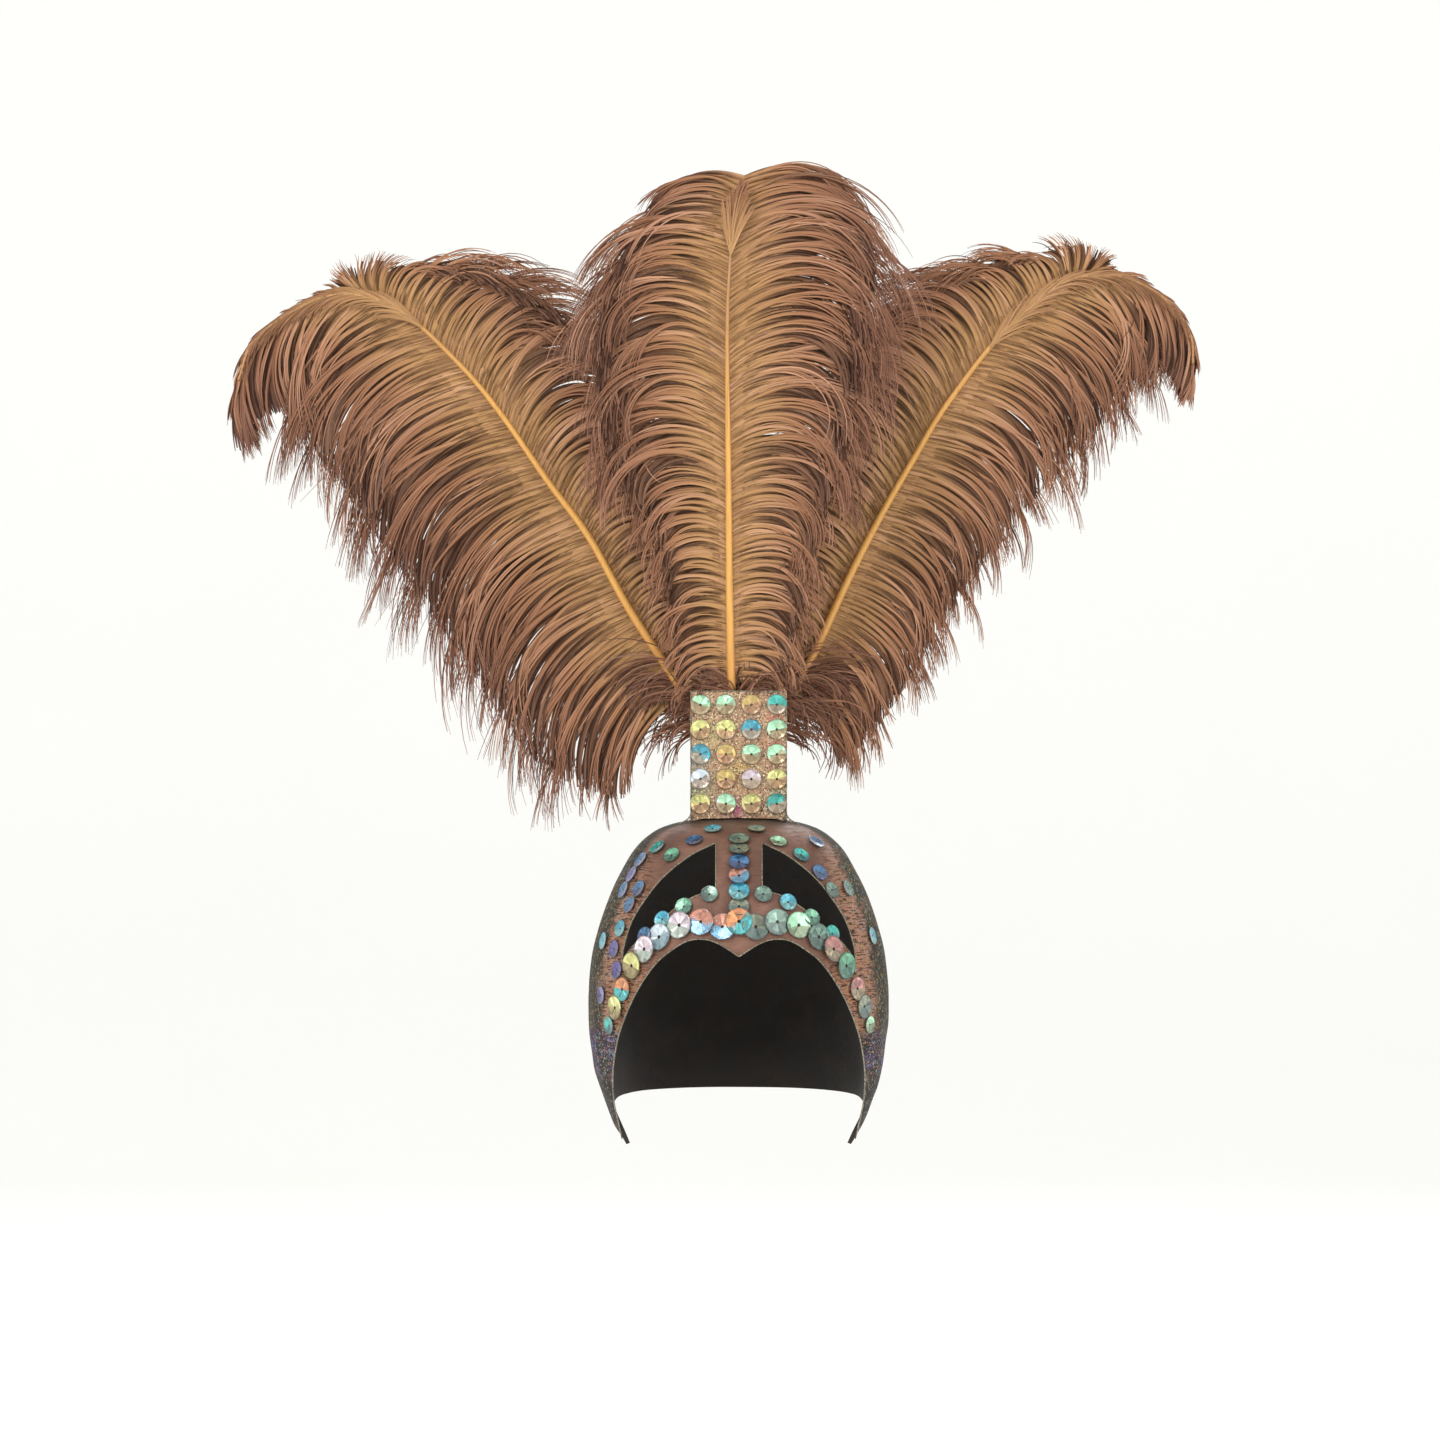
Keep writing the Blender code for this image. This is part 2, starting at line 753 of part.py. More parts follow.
def build_plumes(socket, parts, cutters):
    """Build the three plumes and bore the socket for their quills."""
    quill = finish_material("quill_gold", QUILL)
    plume = finish_material("plume_brown", PLUME)
    for name, path, locks, rise, reach, sweep, seat, side, first in PLUMES:
        shaft = Shaft(path, rise, reach, sweep, seat, side)
        build_shaft(f"plume_shaft_{name}", shaft, parts, quill)
        build_vane(f"plume_vane_{name}", shaft, first, locks, parts, plume)
        bore_quill(socket, shaft, f"quill_bore_{name}", cutters)


def sequin_mesh(name, diameter, cup, material):
    """Make a round sequin whose middle lies lower than its rim, facing +Z."""
    shape = bmesh.new()
    bmesh.ops.create_cone(
        shape,
        cap_ends=True,
        cap_tris=True,
        segments=SEQUIN_SIDES,
        radius1=diameter / 2,
        radius2=diameter / 2,
        depth=SEQUIN_THICKNESS,
    )
    for vertex in shape.verts:
        if vertex.co.xy.length < diameter / 4:
            vertex.co.z -= cup
    mesh = bpy.data.meshes.new(name)
    shape.to_mesh(mesh)
    shape.free()
    shade_round(mesh)
    mesh.materials.append(material)
    return mesh


def place_sequin(name, mesh, point, normal, down, tilt, parts):
    """Place a sequin on a surface, tilted about its cross axis so that its lower edge lifts."""
    across = down.cross(normal).normalized()
    lift = Matrix.Rotation(math.radians(tilt), 3, across)
    face = lift @ normal
    along = lift @ down
    side = along.cross(face).normalized()
    turn = Matrix((side, along, face)).transposed().to_4x4()
    if turn.determinant() < 0:
        turn = Matrix((-side, along, face)).transposed().to_4x4()
    item = bpy.data.objects.new(name, mesh)
    parts.objects.link(item)
    item.matrix_world = Matrix.Translation(point) @ turn
    return item


def build_holder_sequins(parts, meshes):
    """Build the rows of sequins on the holder panel."""
    stand = SEAT_GAP + SEQUIN_THICKNESS / 2 + HOLDER_SEQUIN_CUP
    front = -PANEL_AHEAD
    middle = panel_top() - PANEL_HEIGHT / 2
    for row in range(HOLDER_ROWS):
        for column in range(HOLDER_COLUMNS):
            across = (column - (HOLDER_COLUMNS - 1) / 2) * HOLDER_COLUMN_PITCH
            height = middle + ((HOLDER_ROWS - 1) / 2 - row) * HOLDER_ROW_PITCH
            point = Vector((across, front - stand, height))
            name = f"holder_sequin_r{row + 1}_c{column + 1}"
            mesh = meshes[(row + column) % len(meshes)]
            place_sequin(name, mesh, point, Vector((0, -1, 0)), Vector((0, 0, -1)), 0.0, parts)


def laid_height(diameter, tilt):
    """Height of a tilted sequin's middle over the curved surface under it."""
    if tilt == 0:
        return SEAT_GAP + SEQUIN_THICKNESS / 2 + LAID_SEQUIN_CUP
    lift = diameter / 2 * math.sin(math.radians(tilt))
    curve_radius = (CAP_WIDTH / 2 + CAP_FRONT) / 2
    fall_away = (diameter / 2) ** 2 / (2 * curve_radius)
    return SEAT_GAP * 2 + SEQUIN_THICKNESS / 2 + lift - fall_away


def brow_middle_drop():
    """Drop of the brow's middle sequin below the crown, as a share of CAP_HEIGHT."""
    crest = min(drop for _, drop in FACE_EDGE)
    return crest - BROW_EDGE_INSET / CAP_HEIGHT


def post_line():
    """Rows of distance walked down the post and drop share, from its first sequin to its last."""
    start = POST_FIRST_DROP / CAP_HEIGHT
    end = brow_middle_drop() - POST_BROW_PITCH / CAP_HEIGHT
    line = [(0.0, start)]
    for step in range(1, POST_SAMPLES + 1):
        walked, before = line[-1]
        drop = start + (end - start) * step / POST_SAMPLES
        stride = (cap_front_point(0.0, drop) - cap_front_point(0.0, before)).length
        line.append((walked + stride, drop))
    return line


def build_post_sequins(parts, mesh):
    """Build the overlapping sequins, evenly spaced down the centre post to the brow."""
    line = post_line()
    pitch = line[-1][0] / (POST_SEQUINS - 1)
    stand = laid_height(POST_SEQUIN, POST_SEQUIN_TILT)
    for index in range(POST_SEQUINS):
        drop = table_value(line, index * pitch, 1)
        point, normal, down = cap_front_frame(0.0, drop)
        name = f"post_sequin_{index + 1}"
        place_sequin(name, mesh, point + normal * stand, normal, down, POST_SEQUIN_TILT, parts)


def face_edge_inset(share, inset):
    """Across and drop of a line that runs inside the face edge, at a share along the edge."""
    spans = len(FACE_EDGE) - 1
    rows = [Vector((a * CAP_WIDTH / 2, -d * CAP_HEIGHT)) for a, d in FACE_EDGE]
    place = share * spans
    index = min(int(place), spans - 1)
    here = rows[index].lerp(rows[index + 1], place - index)
    back = rows[max(index - 1, 0)]
    ahead = rows[min(index + 2, spans)]
    run = (ahead - back).normalized()
    outward = Vector((-run.y, run.x))
    return here + outward * inset


def build_brow_sequins(parts, mesh):
    """Build the larger overlapping sequins along the brow, the same on both sides."""
    line = [Vector((0.0, -brow_middle_drop() * CAP_HEIGHT))]
    for step in range(BROW_SAMPLES):
        spot = face_edge_inset(step / BROW_SAMPLES, BROW_EDGE_INSET)
        if spot.x > line[-1].x or spot.y < line[-1].y:
            if spot.x > BROW_MIDDLE_CLEAR:
                line.append(spot)
    walked = 0.0
    placed = 1
    stand = laid_height(BROW_SEQUIN, BROW_SEQUIN_TILT)
    point, normal, down = cap_front_frame(0.0, -line[0].y / CAP_HEIGHT)
    flat = laid_height(BROW_SEQUIN, 0)
    place_sequin("brow_sequin_centre", mesh, point + normal * flat, normal, down, 0.0, parts)
    before = cap_front_point(line[0].x, -line[0].y / CAP_HEIGHT)
    for spot, after in zip(line[1:], line[2:]):
        here, normal, _ = cap_front_frame(spot.x, -spot.y / CAP_HEIGHT)
        walked += (here - before).length
        before = here
        if walked < placed * BROW_SEQUIN_PITCH:
            continue
        run = (cap_front_point(after.x, -after.y / CAP_HEIGHT) - here).normalized()
        run = (run - normal * run.dot(normal)).normalized()
        for side_name, side in (("left", -1), ("right", 1)):
            spot_point = Vector((side * here.x, here.y, here.z))
            spot_normal = Vector((side * normal.x, normal.y, normal.z))
            back_run = Vector((-side * run.x, -run.y, -run.z))
            name = f"brow_sequin_{side_name}_{placed}"
            place_sequin(
                name, mesh, spot_point + spot_normal * stand, spot_normal, back_run, BROW_SEQUIN_TILT, parts
            )
        placed += 1
        if placed > BROW_SEQUINS_A_SIDE:
            break


def build():
    """Build the whole headdress."""
    clear_scene()
    parts = new_collection(OBJECT_NAME)
    cutters = new_collection("cutters")
    build_cap(parts, cutters)
    socket = build_holder(parts, cutters)
    build_plumes(socket, parts, cutters)
    mint = finish_material("sequin_mint", SEQUIN_MINT)
    teal = finish_material("sequin_teal", SEQUIN_TEAL)
    gold = finish_material("sequin_gold", SEQUIN_GOLD)
    holder_meshes = [
        sequin_mesh("holder_sequin_mint", HOLDER_SEQUIN, HOLDER_SEQUIN_CUP, mint),
        sequin_mesh("holder_sequin_gold", HOLDER_SEQUIN, HOLDER_SEQUIN_CUP, gold),
    ]
    build_holder_sequins(parts, holder_meshes)
    build_post_sequins(parts, sequin_mesh("post_sequin", POST_SEQUIN, LAID_SEQUIN_CUP, teal))
    build_brow_sequins(parts, sequin_mesh("brow_sequin", BROW_SEQUIN, LAID_SEQUIN_CUP, teal))


build()
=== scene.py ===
"""Dressed model of the feathered headdress: three plumes, a sequinned holder and a cut-out cap.

Lengths are in metres unless a name says otherwise. The front faces -Y and +Z is up.
"""

import json
import logging
import math
from collections.abc import Sequence
from dataclasses import dataclass, field
from enum import Enum

import bmesh
import bpy
import numpy as np
from mathutils import Matrix, Vector, noise

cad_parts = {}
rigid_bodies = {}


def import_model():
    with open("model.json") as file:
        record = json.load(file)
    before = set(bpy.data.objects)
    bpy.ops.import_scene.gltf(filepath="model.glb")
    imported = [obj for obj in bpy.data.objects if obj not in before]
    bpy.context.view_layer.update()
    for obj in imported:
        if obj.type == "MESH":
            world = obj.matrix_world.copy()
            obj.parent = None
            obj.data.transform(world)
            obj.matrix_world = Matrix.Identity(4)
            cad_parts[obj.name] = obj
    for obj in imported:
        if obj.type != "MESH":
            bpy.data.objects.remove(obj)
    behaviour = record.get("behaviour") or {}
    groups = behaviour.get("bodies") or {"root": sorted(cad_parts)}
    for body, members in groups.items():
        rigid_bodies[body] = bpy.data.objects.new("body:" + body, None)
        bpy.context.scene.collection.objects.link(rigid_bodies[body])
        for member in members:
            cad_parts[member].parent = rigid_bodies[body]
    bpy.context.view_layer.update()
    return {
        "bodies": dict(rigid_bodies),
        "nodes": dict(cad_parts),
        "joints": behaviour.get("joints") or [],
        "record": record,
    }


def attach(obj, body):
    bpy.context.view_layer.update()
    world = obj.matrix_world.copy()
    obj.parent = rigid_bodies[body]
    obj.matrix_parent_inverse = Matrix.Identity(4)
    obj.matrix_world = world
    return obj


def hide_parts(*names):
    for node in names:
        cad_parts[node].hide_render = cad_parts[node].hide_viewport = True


LOG = logging.getLogger("headdress")
BODY = "root"
MM = 0.001
SIDES = (-1, 1)
SEAT_GAP = 0.0003
SHARP_DEGREES = 35.0
CAP_SHARP_DEGREES = 32.0

Array = np.ndarray
Chance = np.random.Generator
Finish = bpy.types.Material
Piece = bpy.types.Object
Shape = bmesh.types.BMesh
Socket = bpy.types.NodeSocket
Mesh = bpy.types.Mesh
Colour = tuple[float, float, float, float]
Nodes = dict[str, Piece]
Rows = tuple[tuple[float, ...], ...]
Span = tuple[float, float]


def paint(red: int, green: int, blue: int) -> Colour:
    """Turn a display colour into the linear one that shaders use.

    Args:
        red: Red from 0 to 255.
        green: Green from 0 to 255.
        blue: Blue from 0 to 255.

    Returns:
        The linear colour with full cover.
    """
    shares = [value / 255 for value in (red, green, blue)]
    linear = [s / 12.92 if s <= 0.04045 else ((s + 0.055) / 1.055) ** 2.4 for s in shares]
    return (*linear, 1.0)


def ease(values: Array, low: float, high: float) -> Array:
    """Rise smoothly from 0 at low to 1 at high.

    Args:
        values: Numbers to read.
        low: Where the rise starts.
        high: Where the rise ends.

    Returns:
        The eased shares.
    """
    share = np.clip((values - low) / (high - low), 0.0, 1.0)
    return share * share * (3 - 2 * share)


def smooth_rows(rows: Sequence[Sequence[float]], steps: int) -> Array:
    """Read a table along a smooth curve that passes through each of its rows.

    Args:
        rows: Rows of equal length, in order.
        steps: Number of equal steps between two rows.

    Returns:
        One row for each step, the last row included.
    """
    table = np.array(rows, float)
    padded = np.vstack([2 * table[0] - table[1], table, 2 * table[-1] - table[-2]])
    part = (np.arange(steps) / steps)[:, None]
    spans = []
    for index in range(len(table) - 1):
        before, here, there, after = padded[index : index + 4]
        spans.append(
            0.5
            * (
                2 * here
                + (there - before) * part
                + (2 * before - 5 * here + 4 * there - after) * part**2
                + (3 * here - before - 3 * there + after) * part**3
            )
        )
    spans.append(table[-1:])
    return np.vstack(spans)


def link(name: str, data: bpy.types.ID) -> Piece:
    """Put a new object with its data in the scene."""
    item = bpy.data.objects.new(name, data)
    bpy.context.scene.collection.objects.link(item)
    return item


def write_mark(mesh: Mesh, name: str, values: Array, domain: str = "POINT") -> None:
    """Write an attribute of a mesh.

    Args:
        mesh: Mesh that gets the attribute.
        name: Name of the attribute.
        values: A number each, or a row of four each for a colour.
        domain: What the values belong to.
    """
    kind, key = ("FLOAT_COLOR", "color") if values.ndim == 2 else ("FLOAT", "value")
    layer = mesh.attributes.new(name, kind, domain)
    layer.data.foreach_set(key, values.astype(np.float32).ravel())


def mesh_from_arrays(name: str, points: Array, quads: Array) -> Mesh:
    """Join many small strips as one smooth-shaded mesh.

    Args:
        name: Name of the mesh.
        points: Vertex places, one row each.
        quads: Four vertex numbers for each face.

    Returns:
        The mesh.
    """
    mesh = bpy.data.meshes.new(name)
    mesh.vertices.add(len(points))
    mesh.vertices.foreach_set("co", points.astype(np.float32).ravel())
    mesh.loops.add(quads.size)
    mesh.loops.foreach_set("vertex_index", quads.astype(np.int32).ravel())
    mesh.polygons.add(len(quads))
    mesh.polygons.foreach_set("loop_start", np.arange(0, quads.size, 4, dtype=np.int32))
    mesh.update(calc_edges=True)
    mesh.shade_smooth()
    return mesh


def mesh_from_shape(name: str, shape: Shape) -> Mesh:
    """Turn a shape into a mesh whose faces look outward.

    Args:
        name: Name of the mesh.
        shape: Shape to use up.

    Returns:
        The mesh.
    """
    bmesh.ops.recalc_face_normals(shape, faces=shape.faces)
    mesh = bpy.data.meshes.new(name)
    shape.to_mesh(mesh)
    shape.free()
    return mesh


def smooth(mesh: Mesh, degrees: float) -> Mesh:
    """Shade a mesh smooth, except at edges sharper than an angle."""
    mesh.shade_smooth()
    mesh.set_sharp_from_angle(angle=math.radians(degrees))
    return mesh


def piece_from_shape(name: str, shape: Shape) -> Piece:
    """Turn a finished shape into a piece of the scene."""
    return link(name, smooth(mesh_from_shape(name, shape), SHARP_DEGREES))


def extrude_ring(shape: Shape, edges: list[bmesh.types.BMEdge]) -> tuple[list, list]:
    """Draw a row of edges out of a shape.

    Args:
        shape: Shape that has the edges.
        edges: The row.

    Returns:
        Vertices and edges of the new row, which still lies on the old one.
    """
    made = bmesh.ops.extrude_edge_only(shape, edges=edges)["geom"]
    verts = [item for item in made if isinstance(item, bmesh.types.BMVert)]
    rims = [item for item in made if isinstance(item, bmesh.types.BMEdge)]
    return verts, [edge for edge in rims if all(vert in verts for vert in edge.verts)]


def sweep(shape: Shape, route: Array, radii: Array, sides: int) -> None:
    """Run a closed round tube along a route.

    Args:
        shape: Shape that gets the tube.
        route: Points of the middle line, one row each.
        radii: Half thickness at each point.
        sides: Number of sides of the tube.
    """
    layers = shape.verts.layers.float
    along = layers.get("along") or layers.new("along")
    tangents = [Vector(row).normalized() for row in np.gradient(route, axis=0)]
    turn = Vector((0, 0, 1)).rotation_difference(tangents[0])
    frame = Matrix.Translation(Vector(route[0])) @ turn.to_matrix().to_4x4()
    ring = bmesh.ops.create_circle(
        shape, cap_ends=True, segments=sides, radius=radii[0], matrix=frame
    )["verts"]
    edges = list({edge for vert in ring for edge in vert.link_edges})
    for index in range(1, len(route)):
        turn = tangents[index - 1].rotation_difference(tangents[index]) @ turn
        after = Matrix.Translation(Vector(route[index])) @ turn.to_matrix().to_4x4()
        growth = Matrix.Scale(radii[index] / radii[index - 1], 4)
        ring, edges = extrude_ring(shape, edges)
        bmesh.ops.transform(shape, matrix=after @ growth @ frame.inverted(), verts=ring)
        for vert in ring:
            vert[along] = index / (len(route) - 1)
        frame = after
    bmesh.ops.edgeloop_fill(shape, edges=edges)


def settle(piece: Piece, material: Finish | None, slot: str, *nodes: str) -> Piece:
    """Dress a piece, make it ride with the headdress and stand for its solids.

    Args:
        piece: Piece to settle.
        material: Finish of the piece, or None if it has its own.
        slot: Material slot of the record; not used.
        nodes: Solids that the piece stands for.

    Returns:
        The same piece.
    """
    if material is not None:
        piece.data.materials.append(material)
    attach(piece, BODY)
    if nodes:
        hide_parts(*nodes)
    LOG.info("%s: %d faces, stands for %d solids", piece.name, len(piece.data.polygons), len(nodes))
    return piece


class Bench:
    """A new material with short calls that add and join its nodes."""

    def __init__(self, name: str, settings: dict[str, float | Colour]) -> None:
        """Start a material.

        Args:
            name: Name of the material.
            settings: Even values for the shader's own sockets.
        """
        self.material = bpy.data.materials.new(name)
        self.material.use_nodes = True
        self.tree = self.material.node_tree
        self.surface = self.tree.nodes["Principled BSDF"]
        for socket, value in settings.items():
            self.surface.inputs[socket].default_value = value
        self.place = self.add("TexCoord").outputs["Object"]

    def add(self, kind: str, inputs: dict | None = None, **settings: object) -> bpy.types.Node:
        """Add a node.

        Args:
            kind: Type of the node without its prefix.
            inputs: Value or socket for each input, by name or number.
            settings: Properties of the node.

        Returns:
            The new node.
        """
        node = self.tree.nodes.new("ShaderNode" + kind)
        for key, value in settings.items():
            setattr(node, key, value)
        for key, value in (inputs or {}).items():
            self.feed(node.inputs[key], value)
        return node

    def feed(self, socket: Socket, value: object) -> None:
        """Join a socket to another one, or give it a value."""
        if isinstance(value, Socket):
            self.tree.links.new(value, socket)
        else:
            socket.default_value = value

    def mark(self, name: str, output: str = "Fac") -> Socket:
        """Read an attribute of the piece."""
        return self.add("Attribute", attribute_name=name).outputs[output]

    def stretch(self, scale: tuple[float, float, float]) -> Socket:
        """Scale the piece's own coordinates along each axis."""
        return self.add("Mapping", {"Vector": self.place, "Scale": scale}).outputs[0]

    def speckle(self, scale: float, detail: float = 3.0, place: Socket = None) -> Socket:
        """Make soft noise at a scale, as a factor."""
        inputs = {"Vector": place or self.place, "Scale": scale, "Detail": detail}
        return self.add("TexNoise", inputs).outputs[0]

    def cells(self, scale: float, output: str) -> Socket:
        """Make a pattern of cells at a scale and read one of its outputs."""
        return self.add("TexVoronoi", {"Vector": self.place, "Scale": scale}).outputs[output]

    def split(self, colour: Socket) -> tuple[Socket, ...]:
        """Part a colour into its three numbers."""
        return tuple(self.add("SeparateColor", {0: colour}).outputs)

    def ramp(self, factor: Socket, *stops: tuple[float, Colour]) -> Socket:
        """Turn a factor into colours.

        Args:
            factor: Socket to read.
            stops: Place and colour of each stop, in order.

        Returns:
            The colour socket.
        """
        node = self.add("ValToRGB", {"Fac": factor})
        elements = node.color_ramp.elements
        for element, (place, colour) in zip(elements, (stops[0], stops[-1])):
            element.position = place
            element.color = colour
        for place, colour in stops[1:-1]:
            elements.new(place).color = colour
        return node.outputs[0]

    def blend(self, factor: object, first: object, second: object) -> Socket:
        """Mix two colours: at a factor of 1 the second one shows."""
        return self.add("Mix", {0: factor, 6: first, 7: second}, data_type="RGBA").outputs[2]

    def plus(self, first: object, second: object) -> Socket:
        """Add two numbers."""
        return self.add("Math", {0: first, 1: second}, operation="ADD").outputs[0]

    def less(self, first: object, second: object) -> Socket:
        """Take the second number from the first."""
        return self.add("Math", {0: first, 1: second}, operation="SUBTRACT").outputs[0]

    def times(self, first: object, second: object) -> Socket:
        """Multiply two numbers."""
        return self.add("Math", {0: first, 1: second}, operation="MULTIPLY").outputs[0]

    def span(
        self, value: object, low: float, high: float, start: float = 0.0, end: float = 1.0
    ) -> Socket:
        """Map a range of a value onto another range, held at its ends."""
        inputs = {0: value, 1: low, 2: high, 3: start, 4: end}
        return self.add("MapRange", inputs).outputs[0]

    def emboss(self, height: Socket, strength: float, distance: float) -> None:
        """Raise the surface by a height."""
        inputs = {"Height": height, "Strength": strength, "Distance": distance}
        self.feed(self.surface.inputs["Normal"], self.add("Bump", inputs).outputs[0])

    def finish(self, colour: object, roughness: object = None, metallic: object = None) -> Finish:
        """Feed the shader and hand over the material.

        Args:
            colour: Base colour or its socket.
            roughness: Roughness or its socket, if it isn't set yet.
            metallic: Metal share or its socket, if it isn't set yet.

        Returns:
            The finished material.
        """
        self.feed(self.surface.inputs["Base Color"], colour)
        if roughness is not None:
            self.feed(self.surface.inputs["Roughness"], roughness)
        if metallic is not None:
            self.feed(self.surface.inputs["Metallic"], metallic)
        return self.material


@dataclass(frozen=True)
class BarbFinish:
    """Dyed ostrich barbs: golden by the shaft, brown further out and mauve at the tips, with
    painted shade between the tufts and painted highlights on some hairs.
    """

    golden: Colour = paint(184, 140, 92)
    brown: Colour = paint(160, 112, 80)
    mauve: Colour = paint(126, 84, 68)
    shade: Colour = paint(46, 27, 20)
    painted_highlight: Colour = paint(222, 172, 140)
    streak_scale: float = 420.0
    fibre_scale: float = 1900.0
    relief: float = 0.0004

    def make(self) -> Finish:
        """Make the material.

        Returns:
            The material.
        """
        settings = {"Specular IOR Level": 0.25, "Sheen Weight": 0.08, "Sheen Roughness": 0.4}
        bench = Bench("dyed_barbs_painted_shade", settings)
        along, painted_light, tone = (bench.mark(name) for name in ("along", "painted_light", "tone"))
        stops = ((0.0, self.golden), (0.12, self.golden), (0.36, self.brown), (0.92, self.mauve))
        dye = bench.ramp(along, *stops)
        streak = bench.speckle(self.streak_scale, 2.0)
        # Painted highlight: hairs with a high random tone turn lighter.
        lit = bench.blend(bench.span(tone, 0.5, 1.0, 0.0, 0.45), dye, self.painted_highlight)
        # Painted shade: where the painted light mark is low, in the gaps between tufts, the colour
        # turns to the shade colour.
        deep = bench.span(bench.plus(painted_light, bench.times(streak, 0.25)), 0.05, 0.85, 0.88, 0.0)
        bench.emboss(bench.speckle(self.fibre_scale, 2.0), 0.35, self.relief)
        roughness = bench.span(streak, 0.3, 0.7, 0.5, 0.75)
        return bench.finish(bench.blend(deep, lit, self.shade), roughness)


@dataclass(frozen=True)
class QuillFinish:
    """Golden horn of the shafts, darker by the root, with fine lines along it."""

    root: Colour = paint(190, 122, 52)
    middle: Colour = paint(226, 168, 86)
    tip: Colour = paint(178, 132, 84)
    line: Colour = paint(150, 92, 38)
    line_scale: tuple[float, float, float] = (1500.0, 1500.0, 60.0)
    relief: float = 0.0003

    def make(self) -> Finish:
        """Make the material.

        Returns:
            The material.
        """
        settings = {"Coat Weight": 0.25, "Coat Roughness": 0.2, "Specular IOR Level": 0.5}
        bench = Bench("golden_quill", settings)
        stops = ((0.0, self.root), (0.28, self.middle), (0.56, self.middle), (0.8, self.tip))
        horn = bench.ramp(bench.mark("along"), *stops)
        grain = bench.speckle(1.0, 4.0, bench.stretch(self.line_scale))
        bench.emboss(grain, 0.25, self.relief)
        colour = bench.blend(bench.span(grain, 0.5, 0.8, 0.0, 0.55), horn, self.line)
        return bench.finish(colour, bench.span(grain, 0.3, 0.7, 0.28, 0.48))


@dataclass(frozen=True)
class CapClothFinish:
    """Shot satin: rose-brown on the brow, copper crinkles at the sides, lace on the flaps, with
    painted sheen, painted shade in the creases and towards the sides, and painted glints.
    """

    rose: Colour = paint(108, 78, 66)
    sheen: Colour = paint(140, 104, 88)
    copper: Colour = paint(176, 124, 98)
    umber: Colour = paint(54, 36, 27)
    olive: Colour = paint(40, 36, 26)
    gilt: Colour = paint(178, 146, 76)
    ink: Colour = paint(24, 20, 20)
    violet: Colour = paint(110, 88, 172)
    painted_glint: Colour = paint(150, 190, 194)
    broad_scale: float = 55.0
    lace_scale: float = 520.0
    glint_scale: float = 900.0
    crease_scale: tuple[float, float, float] = (170.0, 170.0, 1250.0)
    thread_scale: tuple[float, float, float] = (2600.0, 2600.0, 5200.0)
    relief: float = 0.0014

    def make(self) -> Finish:
        """Make the material.

        Returns:
            The material.
        """
        settings = {"Specular IOR Level": 0.22, "Coat Weight": 0.04, "Coat Roughness": 0.3}
        bench = Bench("shot_satin_painted_light", settings)
        satin, lace, flecked = bench.split(bench.mark("zones", "Color"))
        broad = bench.speckle(self.broad_scale)
        crease = bench.speckle(1.0, 5.0, bench.stretch(self.crease_scale))
        thread = bench.speckle(1.0, 2.0, bench.stretch(self.thread_scale))
        tinge, gold, spark = bench.split(bench.cells(self.glint_scale, "Color"))
        edges = bench.span(bench.cells(self.lace_scale, "Distance"), 0.25, 0.62)
        rough = bench.less(1.0, satin)

        # Satin: painted sheen in broad patches, and painted shade along the creases.
        flat = bench.blend(bench.span(broad, 0.4, 0.68), self.rose, self.sheen)
        flat = bench.blend(bench.span(crease, 0.55, 0.75, 0.0, 0.35), flat, self.umber)
        # Crinkles: painted shade in the creases and painted highlight on their crests, over the
        # copper cloth.
        stops = ((0.40, self.umber), (0.54, self.copper), (0.66, self.sheen))
        cloth = bench.blend(satin, bench.ramp(crease, *stops), flat)
        # Painted shade: olive and umber where the cap turns away towards its sides, back and crown,
        # broken up by broad patches.
        patches = bench.plus(bench.mark("flank_shade"), bench.times(broad, 0.8))
        patches = bench.span(patches, 0.60, 1.0)
        dim = bench.blend(bench.span(crease, 0.45, 0.7, 0.0, 0.5), self.olive, self.umber)
        cloth = bench.blend(patches, cloth, dim)
        gilded = bench.times(bench.span(gold, 0.80, 0.95, 0.0, 0.5), rough)
        cloth = bench.blend(gilded, cloth, self.gilt)

        tinted = bench.times(bench.span(tinge, 0.55, 0.86), bench.span(broad, 0.40, 0.56))
        knots = bench.blend(tinted, self.ink, self.violet)
        # Painted glints: pale specks in the lace.
        knots = bench.blend(bench.span(gold, 0.90, 0.98, 0.0, 0.7), knots, self.painted_glint)
        threads = bench.blend(bench.span(crease, 0.48, 0.62), self.umber, self.copper)
        cloth = bench.blend(lace, cloth, bench.blend(edges, threads, knots))
        flecks = bench.blend(bench.span(spark, 0.84, 0.97), self.ink, self.copper)
        flecks = bench.blend(bench.span(broad, 0.35, 0.6, 0.2, 0.75), flecks, self.olive)
        cloth = bench.blend(flecked, cloth, flecks)
        # Painted glints: pale specks over the cloth, away from the satin.
        painted_glints = bench.times(bench.span(spark, 0.92, 0.99, 0.0, 0.5), rough)
        cloth = bench.blend(painted_glints, cloth, self.painted_glint)

        folds = bench.times(crease, bench.span(satin, 0.0, 1.0, 1.0, 0.18))
        folds = bench.plus(folds, bench.times(thread, 0.12))
        netting = bench.times(edges, bench.times(lace, 0.6))
        bench.emboss(bench.plus(folds, netting), 0.9, self.relief)
        plain = bench.less(1.0, patches)
        shine = bench.times(plain, bench.span(crease, 0.35, 0.7, 0.12, 0.42))
        return bench.finish(cloth, bench.less(0.72, shine), bench.times(plain, 0.22))


